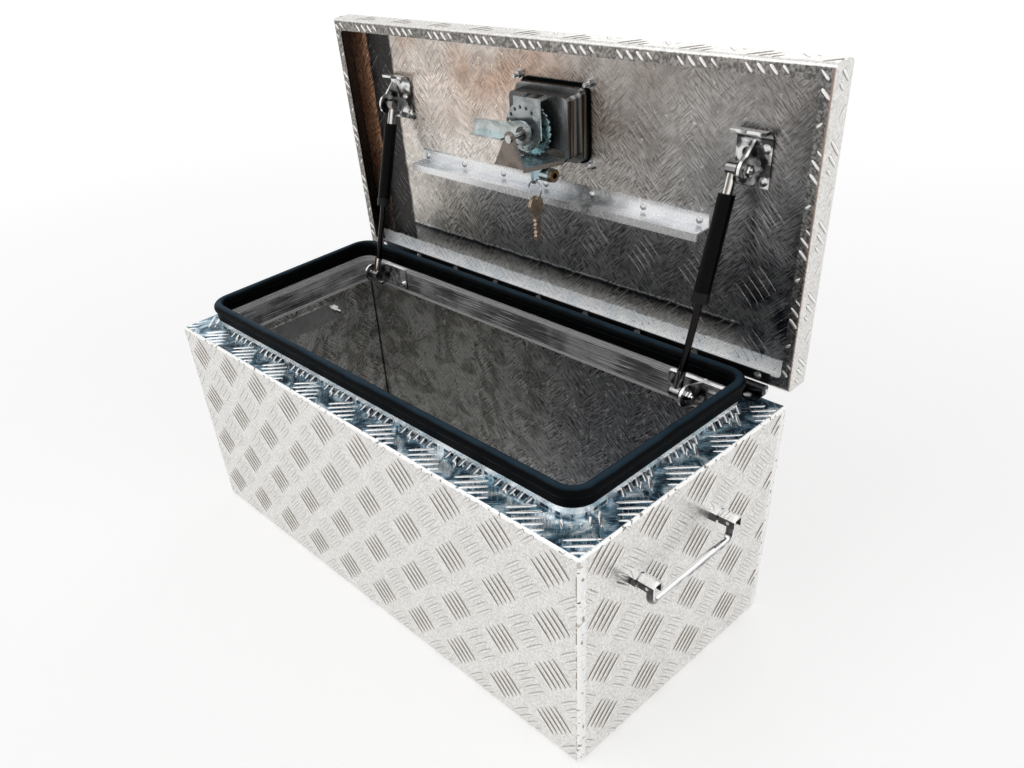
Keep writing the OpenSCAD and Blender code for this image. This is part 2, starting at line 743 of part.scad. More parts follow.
// flanged bush in the dish's floor, which the spindle turns in
module latch_bush() {
  color([0.55, 0.65, 0.68]) at_latch() difference() {
    union() {
      translate([0, 0, floor_z + dish_t]) cylinder(d = spindle_d + bush_rim, h = 1);
      translate([0, 0, floor_z]) cylinder(d = spindle_d + 4, h = dish_t);
      translate([0, 0, floor_z - bush_h]) cylinder(d = spindle_d + 9, h = bush_h);
    }
    translate([0, 0, floor_z - bush_h - 1]) cylinder(d = spindle_d + 2 * run, h = bush_h + 5);
  }
}

// toothed plate that turns with the spindle
module index_plate() {
  teeth = 24;
  color([0.45, 0.62, 0.66]) at_latch() translate([0, 0, wheel_z]) difference() {
    cylinder(r = wheel_r, h = 2);
    for (i = [0 : teeth - 1]) rotate([0, 0, i * 360 / teeth])
      translate([wheel_r + 1, 0, -1]) cylinder(r = 2.8, h = 4, $fn = 16);
    translate([0, 0, -1]) cylinder(d = spindle_d, h = 4);
  }
}

// fixed plate on two pillars; a row of holes lets the index be set
module detent_plate() {
  color([0.62, 0.72, 0.74]) at_latch() {
    difference() {
      translate([disc_x, disc_y, disc_z]) linear_extrude(2) {
        circle(r = disc_r);
        translate([0, -disc_r]) square([disc_r, disc_r + 12]);
        translate([-disc_r / 2, -disc_r - 6]) square([disc_r * 1.5, 20]);
      }
      translate([0, 0, disc_z - 1]) cylinder(d = spindle_d + 1, h = 4);
      for (i = [0 : index_holes - 1]) translate([disc_x, disc_y, disc_z - 1])
        rotate([0, 0, 70 + i * 240 / (index_holes - 1)]) translate([disc_r - 5, 0, 0]) cylinder(d = 4.6, h = 4);
    }
    for (x = [-1, 1]) translate([disc_x / 2 + x * 16, disc_y - disc_r - 2, disc_z + 2])
      cylinder(d = 5, h = floor_z - disc_z - 2);
  }
}

// arm that swings under the catch, with a stiffening lip along one edge
module cam_arm() {
  color([0.60, 0.68, 0.70]) at_latch() translate([0, 0, cam_z]) difference() {
    union() {
      cylinder(r = 14, h = cam_t);
      linear_extrude(cam_t) polygon([[0, -14], [-cam_reach * 0.35, -10], [-cam_reach, -8],
        [-cam_reach, 9], [-cam_reach * 0.3, 9], [0, 14]]);
      translate([-cam_reach, 6.5, -9]) cube([cam_reach * 0.68, cam_t, 9 + eps]);
    }
    translate([0, 0, -1]) cylinder(d = spindle_d, h = cam_t + 2);
  }
}

// bracket that carries the spindle's end and the lock: foot, shelf, lip and a tapered web
module cam_bracket() {
  color([0.58, 0.63, 0.65]) at_latch() {
    difference() {
      translate([0, 0, web_z]) linear_extrude(2) {
        circle(r = 8);
        polygon([[-8, 0], [-28, shelf_y + 2], [20, shelf_y + 2], [8, 0]]);
      }
      translate([0, 0, web_z - 1]) cylinder(d = 6 + 2 * run, h = 4);
    }
    translate([0, shelf_y + 2, 0]) rotate([90, 0, 0]) linear_extrude(2)
      polygon([[-28, web_z], [20, web_z], [42, floor_z - 4], [42, floor_z], [-6, floor_z]]);
    translate([0, lip_y, 0]) rotate([90, 0, 0]) linear_extrude(lip_y - shelf_y - 1)
      polygon([[17.5, web_z + 1], [20, web_z], [42, floor_z - 4], [39.5, floor_z - 4]]);
    translate([2, 22, floor_z - 2]) cube([36, shelf_y - 22 + eps, 2]);
  }
}

module cam_pin() {
  color([0.85, 0.84, 0.82]) at_latch() {
    translate([0, 0, web_z - 0.2]) cylinder(d = 6, h = cam_z - web_z + 9);
    translate([0, 0, web_z - 2.2]) cylinder(d = 9, h = 2);
  }
}

module lock_barrel() {
  color([0.66, 0.70, 0.71]) at_latch() difference() {
    union() {
      translate([barrel_x, shelf_y + 2, barrel_z]) rotate([-90, 0, 0]) cylinder(d = 20, h = eye_y - 6 - shelf_y - 2);
      translate([barrel_x, barrel_y - 1, barrel_z]) bar_x(2 * barrel_r, 20);
    }
    translate([barrel_x + 4, barrel_y - 1, barrel_z]) bar_x(12 + 2 * run, 17);
  }
}

// brass plug, turned by the key
module lock_plug() {
  color([0.80, 0.58, 0.30]) at_latch() translate([barrel_x + 4.2, barrel_y - 1, barrel_z]) difference() {
    union() {
      bar_x(12, 20);
      translate([16.2, 0, 0]) bar_x(15, 4);
    }
    translate([12, 0, 0]) bar_x(7, 10);
  }
}

module key_hook() {
  color([0.45, 0.47, 0.48]) at_latch() translate([key_x - 1.25, eye_y, barrel_z]) difference() {
    rotate([90, 0, 90]) linear_extrude(2.5) {
      circle(r = 5);
      translate([-6, -4]) square([6, 8]);
    }
    translate([-1, 0, 0]) bar_x(5, 5);
  }
}

module key_ring() {
  color([0.5, 0.5, 0.51]) at_latch() translate([key_x, ring_top + ring_r, barrel_z])
    rotate_extrude() translate([ring_r, 0]) circle(d = wire_d, $fn = 24);
}

// key in the plane across X; its hole hangs on the ring
module key_blank(cuts) {
  rotate([90, 0, 90]) linear_extrude(2) difference() {
    union() {
      translate([8, 0]) circle(r = 11);
      translate([16, -4]) square([35, 8]);
      translate([16, -6]) square([5, 12]);
    }
    circle(d = 5);
    for (i = [0 : 4]) translate([25 + 5 * i, -4]) rotate([0, 0, 45]) square(cuts[i], center = true);
  }
}

module key_front() {
  color([0.72, 0.58, 0.40]) at_latch() translate([key_x + 0.2, key_hole_y, barrel_z]) key_blank([3, 4, 2, 4, 3]);
}

module key_back() {
  color([0.70, 0.56, 0.38]) at_latch() translate([key_x - 2.2, key_hole_y, barrel_z]) key_blank([3, 4, 2, 4, 3]);
}

// angle behind the frame, over its notch; the cam bears up against the ledge
module catch_plate() {
  ledge_z = panel_in + cam_z + cam_t + 1;
  color([0.7, 0.7, 0.7]) translate([latch_x - cam_reach - 6, front_in - frame_t - plate_t - catch_w, 0])
    difference() {
      translate([0, 0, ledge_z]) cube([cam_reach + catch_run + 6, catch_w, body_h - plate_t - ledge_z]);
      translate([-1, -1, ledge_z + 2])
        cube([cam_reach + catch_run + 8, catch_w - 1, body_h - 2 * plate_t - ledge_z - 2]);
    }
}

// ---------- carry handles ----------

pivot_out = 22;                // pivot of the bar, out from the wall
post_half = post_gap / 2;

// posts of the right-hand handle; the left one is turned half round
module at_posts(s) {
  rotate([0, 0, s > 0 ? 0 : 180])
    for (e = [-1, 1]) translate([body_w / 2, post_y + e * post_half, post_z]) children();
}

module handle_posts(s) {
  color([0.80, 0.81, 0.83]) at_posts(s) difference() {
    union() {
      hex_x(post_af + 2, 9);
      translate([8, 0, 0]) bar_x(post_af - 2, 4);
      translate([11, 0, 0]) hex_x(post_af, post_l - 11);
      translate([-plate_t - 18, 0, 0]) bar_x(8, plate_t + 18 + eps);
    }
    translate([pivot_out - bail_d / 2 - 1, -bail_d / 2 - rub, -post_af])
      cube([post_l, bail_d + 2 * rub, post_af + bail_d / 2 + 0.8]);
    translate([pivot_out, 0, 0]) rotate([90, 0, 0]) cylinder(d = 4, h = 2 * post_af, center = true);
  }
}

module handle_pins(s) {
  color([0.7, 0.7, 0.72]) at_posts(s) translate([pivot_out, 0, 0]) rotate([90, 0, 0])
    cylinder(d = 4, h = post_af - 0.4, center = true);
}

// inner plates and nuts, one pair at each end
module handle_backings() {
  color([0.75, 0.76, 0.78]) for (s = [-1, 1]) {
    rotate([0, 0, s > 0 ? 0 : 180]) translate([body_w / 2 - plate_t - 3, post_y, post_z]) difference() {
      translate([0, -post_half - 1.2 * post_af, -post_af]) cube([3, post_gap + 2.4 * post_af, 2 * post_af]);
      for (e = [-1, 1]) translate([-1, e * post_half, 0]) bar_x(8, 5);
    }
    at_posts(s) translate([-plate_t - 10, 0, 0]) difference() {
      hex_x(13, 7);
      translate([-1, 0, 0]) bar_x(8, 9);
    }
  }
}

module handle(s) {
  bend = 9;
  color([0.85, 0.85, 0.87]) at_handle(s) difference() {
    union() {
      for (e = [-1, 1]) {
        translate([0, e * post_half, 0]) rotate([90, 0, 0]) cylinder(d = bail_d + 1, h = bail_d - 1, center = true);
        translate([0, e * post_half, -bail_drop + bend]) cylinder(d = bail_d, h = bail_drop - bend);
        translate([0, e * (post_half - bend), -bail_drop + bend]) rotate([90, 0, 90 * e])
          rotate_extrude(angle = -90) translate([bend, 0]) circle(d = bail_d);
      }
      translate([0, 0, -bail_drop]) rotate([90, 0, 0])
        cylinder(d = bail_d, h = post_gap - 2 * bend, center = true);
    }
    for (e = [-1, 1]) translate([0, e * post_half, 0]) rotate([90, 0, 0])
      cylinder(d = 4 + 2 * run, h = 2 * bail_d, center = true);
  }
}

module at_handle(s) {
  rotate([0, 0, s > 0 ? 0 : 180]) translate([body_w / 2 + pivot_out, post_y, post_z]) children();
}

body_wrapper();
end_plate(-1);  // end_plate_left
end_plate(1);  // end_plate_right
corner_welds();
rim_frame();
lid_seal();
hinge_leaf_body();
hinge_leaf_lid();
hinge_pin();
hinge_rivets_body();
hinge_rivets_lid();
body_brackets();
body_bracket_bolts();
body_stud_nuts();
ball_pin(-1);  // ball_pin_left
ball_pin(1);  // ball_pin_right
rod_socket(-1);  // rod_socket_left
rod_socket(1);  // rod_socket_right
strut_rod(-1);  // strut_rod_left
strut_rod(1);  // strut_rod_right
strut_gland(-1);  // strut_gland_left
strut_gland(1);  // strut_gland_right
strut_tube(-1);  // strut_tube_left
strut_tube(1);  // strut_tube_right
tube_socket(-1);  // tube_socket_left
tube_socket(1);  // tube_socket_right
lid_brackets();
lid_ball_studs();
lid_bracket_bolts();
lid_wrapper();
lid_end(-1);  // lid_end_left
lid_end(1);  // lid_end_right
lid_stiffener();
stiffener_rivets();
latch_dish();
latch_gasket();
latch_studs();
t_handle_hub();
t_handle();
t_handle_pin();
latch_bush();
detent_plate();
index_plate();
cam_arm();
cam_bracket();
cam_pin();
lock_barrel();
lock_plug();
key_hook();
key_ring();
key_front();
key_back();
catch_plate();
handle_posts(-1);  // handle_posts_left
handle_posts(1);  // handle_posts_right
handle_backings();
handle_pins(-1);  // handle_pins_left
handle_pins(1);  // handle_pins_right
handle(-1);  // handle_left
handle(1);  // handle_right
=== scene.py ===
"""Looks of the tread-plate tool case: raised bars on every sheet, metals, rubber, studio and camera."""
import json
import math

import bpy
from mathutils import Matrix, Vector


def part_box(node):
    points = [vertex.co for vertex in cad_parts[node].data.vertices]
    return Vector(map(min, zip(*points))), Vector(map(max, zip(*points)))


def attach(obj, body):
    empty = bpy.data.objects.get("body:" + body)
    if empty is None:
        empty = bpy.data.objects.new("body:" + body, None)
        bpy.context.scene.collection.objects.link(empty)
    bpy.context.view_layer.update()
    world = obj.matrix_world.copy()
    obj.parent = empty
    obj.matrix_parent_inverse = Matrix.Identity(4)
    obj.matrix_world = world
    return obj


MM = 0.001
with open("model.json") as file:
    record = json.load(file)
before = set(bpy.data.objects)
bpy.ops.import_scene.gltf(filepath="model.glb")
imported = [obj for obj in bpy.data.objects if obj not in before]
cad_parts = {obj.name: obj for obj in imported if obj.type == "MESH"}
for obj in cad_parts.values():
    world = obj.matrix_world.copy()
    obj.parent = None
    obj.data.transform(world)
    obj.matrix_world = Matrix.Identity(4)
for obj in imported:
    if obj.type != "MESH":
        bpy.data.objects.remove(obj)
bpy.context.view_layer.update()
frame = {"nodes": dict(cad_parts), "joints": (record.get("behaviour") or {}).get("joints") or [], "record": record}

# ---------- places, read from the frame ----------

hinge = next(j for j in frame["joints"] if j["name"] == "lid_hinge")
PIN = Vector(hinge["pos_m"])
LID_OPEN = math.radians(88)              # the lid at rest, from closed
PLATE = 2.5 * MM                         # thickness of the sheets
body_lo, body_hi = (Vector(v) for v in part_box("body_wrapper"))
HALF_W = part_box("end_plate_right")[1][0]
FRONT_Y = body_lo.y
REAR_Y = body_hi.y
FLANGE_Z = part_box("hinge_leaf_body")[0][2]
UPSTAND = 37 * MM                        # front and end upstands, from the body's faces to mid sheet
UPSTAND_REAR = 24 * MM
LID_HALF_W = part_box("lid_end_right")[1][0]
LID_RIM_Z = 312 * MM                     # lid closed: rim, top, front and rear faces
LID_TOP_Z = 340 * MM
LID_FRONT_Y = -162 * MM
LID_REAR_Y = 172 * MM
LIP = 15 * MM
LEAF_FRONT_Y = 155.5 * MM
STIFF_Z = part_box("lid_stiffener")[0][2]


def lid_matrix():
    """Carries a point of the closed lid to where the lid rests, open."""
    return Matrix.Translation(PIN) @ Matrix.Rotation(-LID_OPEN, 4, "X") @ Matrix.Translation(-PIN)


# ---------- materials ----------

class Nodes:
    """A small builder for one material's nodes."""

    def __init__(self, name):
        self.material = bpy.data.materials.new(name)
        self.material.use_nodes = True
        self.tree = self.material.node_tree
        self.shader = self.tree.nodes["Principled BSDF"]
        self.coords = self.add("ShaderNodeTexCoord")

    def add(self, kind, **settings):
        node = self.tree.nodes.new(kind)
        for key, value in settings.items():
            setattr(node, key, value)
        return node

    def link(self, source, target):
        self.tree.links.new(source, target)

    def put(self, value, socket):
        if isinstance(value, bpy.types.NodeSocket):
            self.link(value, socket)
        else:
            socket.default_value = value

    def math(self, operation, a, b=0.0, clamp=False):
        node = self.add("ShaderNodeMath", operation=operation, use_clamp=clamp)
        self.put(a, node.inputs[0])
        self.put(b, node.inputs[1])
        return node.outputs[0]

    def noise(self, scale, detail=4.0, stretch=(1, 1, 1), rough=0.55, distort=0.0):
        mapping = self.add("ShaderNodeMapping")
        mapping.inputs["Scale"].default_value = stretch
        self.link(self.coords.outputs["Object"], mapping.inputs["Vector"])
        node = self.add("ShaderNodeTexNoise")
        self.link(mapping.outputs[0], node.inputs["Vector"])
        node.inputs["Scale"].default_value = scale
        node.inputs["Detail"].default_value = detail
        node.inputs["Roughness"].default_value = rough
        node.inputs["Distortion"].default_value = distort
        return node.outputs["Fac"]

    def ramp(self, value, low, high, out_low=0.0, out_high=1.0):
        node = self.add("ShaderNodeMapRange")
        self.put(value, node.inputs["Value"])
        for key, number in (("From Min", low), ("From Max", high), ("To Min", out_low), ("To Max", out_high)):
            node.inputs[key].default_value = number
        return node.outputs["Result"]

    def blend(self, factor, a, b):
        """Number a, turning to b as factor goes from 0 to 1."""
        node = self.add("ShaderNodeMix", data_type="FLOAT")
        self.put(factor, node.inputs["Factor"])
        self.put(a, node.inputs["A"])
        self.put(b, node.inputs["B"])
        return node.outputs["Result"]

    def field(self, along, across, scale_along, scale_across):
        """Noise drawn out in one direction of a face."""
        vector = self.add("ShaderNodeCombineXYZ")
        self.link(self.math("MULTIPLY", along, scale_along), vector.inputs[0])
        self.link(self.math("MULTIPLY", across, scale_across), vector.inputs[1])
        node = self.add("ShaderNodeTexNoise")
        self.link(vector.outputs[0], node.inputs["Vector"])
        node.inputs["Scale"].default_value = 1.0
        node.inputs["Detail"].default_value = 2.0
        node.inputs["Distortion"].default_value = 0.4
        return node.outputs["Fac"]

    def mix(self, factor, a, b):
        node = self.add("ShaderNodeMix", data_type="RGBA")
        self.put(factor, node.inputs["Factor"])
        self.put(a if isinstance(a, bpy.types.NodeSocket) else (*a, 1), node.inputs["A"])
        self.put(b if isinstance(b, bpy.types.NodeSocket) else (*b, 1), node.inputs["B"])
        return node.outputs["Result"]

    def split(self, vector):
        node = self.add("ShaderNodeSeparateXYZ")
        self.link(vector, node.inputs[0])
        return node.outputs

    def bump(self, height, strength, distance, after=None):
        node = self.add("ShaderNodeBump")
        node.inputs["Strength"].default_value = strength
        node.inputs["Distance"].default_value = distance
        self.put(height, node.inputs["Height"])
        if after is not None:
            self.link(after, node.inputs["Normal"])
        return node.outputs["Normal"]

    def inside(self, centre):
        """1 on faces that look towards centre, 0 on faces that look away."""
        away = self.add("ShaderNodeVectorMath", operation="SUBTRACT")
        self.link(self.coords.outputs["Object"], away.inputs[0])
        away.inputs[1].default_value = centre
        dot = self.add("ShaderNodeVectorMath", operation="DOT_PRODUCT")
        self.link(away.outputs[0], dot.inputs[0])
        self.link(self.coords.outputs["Normal"], dot.inputs[1])
        return self.math("LESS_THAN", dot.outputs["Value"], 0.0)

    def finish(self, color, rough, metallic=1.0, normal=None):
        self.put(color if isinstance(color, bpy.types.NodeSocket) else (*color, 1), self.shader.inputs["Base Color"])
        self.put(rough, self.shader.inputs["Roughness"])
        self.put(metallic, self.shader.inputs["Metallic"])
        if normal is not None:
            self.link(normal, self.shader.inputs["Normal"])
        return self.material


STROKE_L = 16 * MM
STROKE_W = 2.4 * MM
PITCH = 75 * MM            # from one group of bars to the next group of the same slant
FACES = 0.7                # share of its normal that a face has along an axis to count as facing it


def plate_shade(n, strength):
    """Marks that the tread leaves in a sheet: short strokes, slanting one way and the other from group to group."""
    place = n.split(n.coords.outputs["Object"])
    facing = n.split(n.coords.outputs["Normal"])
    end_on = n.math("GREATER_THAN", n.math("ABSOLUTE", facing[0]), FACES)
    level = n.math("GREATER_THAN", n.math("ABSOLUTE", facing[2]), FACES)
    u = n.blend(end_on, place[0], place[1])
    v = n.blend(level, place[2], place[1])
    turn = 2 * math.pi / PITCH
    lattice = n.math("ADD", *(n.math("COSINE", n.math("MULTIPLY", way, turn)) for way in (u, v)))
    p = n.math("ADD", u, v)
    q = n.math("SUBTRACT", u, v)
    up = n.field(p, q, 1 / STROKE_L, 1 / STROKE_W)
    down = n.field(q, p, 1 / STROKE_L, 1 / STROKE_W)
    wander = n.math("ADD", lattice, n.ramp(n.noise(30, 3), 0.3, 0.7, -1.2, 1.2))
    strokes = n.blend(n.ramp(wander, -0.5, 0.5), up, down)
    return n.ramp(strokes, 0.5 - 0.5 / strength, 0.5 + 0.5 / strength)


def painted_bar_lines(n, marks, depth):
    """marks with the bars' painted highlight and painted shade lines laid over them.

    Sheet without bars has no such coordinates and keeps its marks."""
    u = n.split(n.coords.outputs["UV"])[0]
    pale = n.math("MULTIPLY", n.ramp(u, 0.16, 0.26), n.ramp(u, 0.56, 0.46))
    dark = n.math("MULTIPLY", n.ramp(u, 0.54, 0.64), n.ramp(u, 0.98, 0.88))
    lit = n.math("ADD", marks, n.math("MULTIPLY", pale, depth), clamp=True)
    return n.math("SUBTRACT", lit, n.math("MULTIPLY", dark, depth), clamp=True)


def sheet_tone(n, color, marks, spread):
    """color, darker and lighter by spread where the marks are."""
    return n.mix(marks, tuple(c * (1 - spread) for c in color), tuple(min(1.0, c * (1 + spread)) for c in color))


def body_material():
    """Tread plate of the body: warm satin outside, painted highlights on the bends, swirl-marked inside with painted
    shade and highlights, a blue-dark painted reflection on the flange.
    """
    n = Nodes("tread_body")
    place = n.split(n.coords.outputs["Object"])
    facing = n.split(n.coords.outputs["Normal"])
    marks = painted_bar_lines(n, plate_shade(n, 3.5), 0.45)
    speck = n.noise(330, 3)
    grit = n.ramp(speck, 0.35, 0.65)
    mottle = n.noise(60, 4)
    outside = sheet_tone(n, (0.79, 0.775, 0.75), grit, 0.18)
    outside = n.mix(n.ramp(mottle, 0.42, 0.62), outside, sheet_tone(n, (0.84, 0.825, 0.80), grit, 0.14))
    blotch = n.ramp(n.noise(20, 5, distort=1.5), 0.42, 0.58)
    inside = n.mix(blotch, sheet_tone(n, (0.40, 0.39, 0.37), marks, 0.45),
                   sheet_tone(n, (1.0, 0.97, 0.90), marks, 0.35))
    # painted shade: the inside darkens toward the right
    inside = n.mix(n.ramp(place[0], -0.10, 0.12, 0.0, 0.85), inside, sheet_tone(n, (0.26, 0.265, 0.30), marks, 0.8))
    # painted reflection: bluish on the floor
    inside = n.mix(n.ramp(place[2], 6 * MM, 2 * MM, 0.0, 0.6), inside, sheet_tone(n, (0.56, 0.60, 0.66), marks, 0.7))
    # painted highlights: small bright warm flecks
    inside = n.mix(n.ramp(n.noise(150, 3, distort=1.2), 0.60, 0.67, 0.0, 0.9), inside, (1.0, 0.99, 0.94))
    inside = n.mix(n.ramp(n.noise(120, 3, distort=1.5), 0.37, 0.32, 0.0, 0.8), inside, (0.12, 0.12, 0.12))
    seam = n.math("MULTIPLY", n.ramp(n.math("ABSOLUTE", place[0]), HALF_W - 5.5 * MM, HALF_W - 4 * MM),
                  n.ramp(n.math("ABSOLUTE", place[1]), REAR_Y - 5.5 * MM, REAR_Y - 4 * MM))
    inside = n.mix(n.math("MULTIPLY", seam, 0.85), inside, (0.02, 0.02, 0.02))
    within = n.inside(BODY_CENTRE)
    without = n.math("SUBTRACT", 1.0, within)
    color = n.mix(within, outside, inside)
    # bright ground strips beside the corner welds
    strip = n.math("MULTIPLY", n.ramp(n.math("ABSOLUTE", place[1]), REAR_Y - 11 * MM, REAR_Y - 9.5 * MM),
                   n.math("GREATER_THAN", n.math("ABSOLUTE", facing[0]), FACES))
    strip = n.math("MULTIPLY", strip, without)
    ground = n.mix(n.ramp(n.noise(150, 4), 0.34, 0.40), (0.33, 0.27, 0.22),
                   sheet_tone(n, (0.95, 0.945, 0.93), grit, 0.1))
    color = n.mix(strip, color, ground)
    joint = n.math("MULTIPLY", n.ramp(n.math("ABSOLUTE", place[0]), HALF_W - 4.2 * MM, HALF_W - 3.4 * MM),
                   n.math("GREATER_THAN", n.math("ABSOLUTE", facing[1]), FACES))
    joint = n.math("MULTIPLY", joint, without)
    color = n.mix(n.math("MULTIPLY", joint, n.ramp(n.noise(60, 3), 0.5, 0.42)), color, (0.26, 0.21, 0.17))
    # top flange, with a painted reflection of dark teal, blue and pale clouds, and the upstand's outer face
    cloud = n.noise(34, 4, distort=1.5)
    flange = n.mix(n.ramp(cloud, 0.40, 0.50), (0.015, 0.045, 0.075), (0.14, 0.28, 0.38))
    flange = n.mix(n.ramp(cloud, 0.50, 0.62), flange, (0.74, 0.84, 0.90))
    flange = n.mix(n.ramp(marks, 0.75, 1.0, 0.0, 0.35), flange, (0.85, 0.90, 0.93))
    over = n.math("GREATER_THAN", place[2], FLANGE_Z - 0.4 * MM)
    color = n.mix(n.math("MULTIPLY", n.ramp(facing[2], 0.80, 0.97), over), color, flange)
    streak = n.noise(150, 3, (1, 1, 0.12))
    upright = n.mix(n.ramp(streak, 0.46, 0.54), (0.05, 0.065, 0.08), (0.80, 0.82, 0.84))
    upright = n.mix(n.ramp(place[2], FLANGE_Z + 4.6 * MM, FLANGE_Z + 5.4 * MM), upright, (1.0, 1.0, 0.99))
    over = n.math("GREATER_THAN", place[2], FLANGE_Z + 0.6 * MM)
    color = n.mix(n.math("MULTIPLY", n.ramp(facing[2], 0.5, 0.2), over), color, upright)
    # painted highlights: bright lines along the bends round the top, broken by small dark nicks
    lip = n.math("GREATER_THAN", place[2], FLANGE_Z - 3.4 * MM)
    bend = n.math("MULTIPLY", n.ramp(facing[2], 0.995, 0.97), n.ramp(facing[2], 0.0, 0.03))
    bend_highlight = n.mix(n.ramp(n.noise(130, 3), 0.36, 0.40), (0.30, 0.27, 0.24), (0.98, 0.98, 0.97))
    color = n.mix(n.math("MULTIPLY", lip, bend), color, bend_highlight)
    rough = n.ramp(marks, 0.0, 1.0, 0.24, 0.36)
    normal = n.bump(marks, 0.25, 0.0008)
    normal = n.bump(speck, 0.18, 0.0006, normal)
    return n.finish(color, rough, 0.85, normal)


def frame_material():
    """Smooth frame round the opening: drawn lines along it, bright edges above and below."""
    n = Nodes("frame_sheet")
    place = n.split(n.coords.outputs["Object"])
    low, high = (v[2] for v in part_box("rim_frame"))
    lines = n.noise(520, 2, (0.03, 0.03, 1))
    cloud = n.noise(16, 4)
    tone = n.mix(n.ramp(cloud, 0.42, 0.60), (0.20, 0.20, 0.205), (0.66, 0.66, 0.665))
    tone = n.mix(n.ramp(lines, 0.42, 0.30), tone, (0.07, 0.07, 0.07))
    tone = n.mix(n.ramp(lines, 0.60, 0.68), tone, (1.0, 1.0, 1.0))
    edge = n.math("MAXIMUM", n.ramp(place[2], low + 5 * MM, low + 4 * MM),
                  n.ramp(place[2], high - 11 * MM, high - 9 * MM))
    tone = n.mix(edge, tone, (1.0, 1.0, 1.0))
    return n.finish(tone, n.ramp(lines, 0.3, 0.7, 0.2, 0.35), 0.55, n.bump(lines, 0.15, 0.0005))


def weld_material():
    """Corner weld: bright bead with brown heat marks and dark pits."""
    n = Nodes("corner_weld")
    beads = n.noise(190, 3, (0.4, 0.4, 1))
    tone = n.mix(n.ramp(beads, 0.33, 0.38), (0.22, 0.16, 0.115), (0.96, 0.955, 0.94))
    tone = n.mix(n.ramp(n.noise(45, 4), 0.62, 0.66), tone, (0.62, 0.56, 0.50))
    return n.finish(tone, n.ramp(beads, 0.3, 0.7, 0.25, 0.45), 0.85, n.bump(beads, 0.6, 0.0015))


# heights above the ground, with the lid open, between which the painted reflections on its inner panel change tone
FOOT_TOP = (0.330, 0.328)          # the white foot ends
LEDGE_FADE = (0.333, 0.349)        # the pale band over it darkens
LEDGE_TOP = (0.349, 0.354)         # and ends
DARK_TOP = (0.3565, 0.3575)        # the dark band over that ends
LINE_FOOT = (0.3575, 0.3585)       # a thin bright line begins
LINE_TOP = (0.3605, 0.3595)        # and ends
# places across the panel where its painted reflections change
DARK_EDGE = (-0.284, -0.279)       # dark to the left of it
COPPER_EDGE = (-0.337, -0.333)     # copper to the left of it


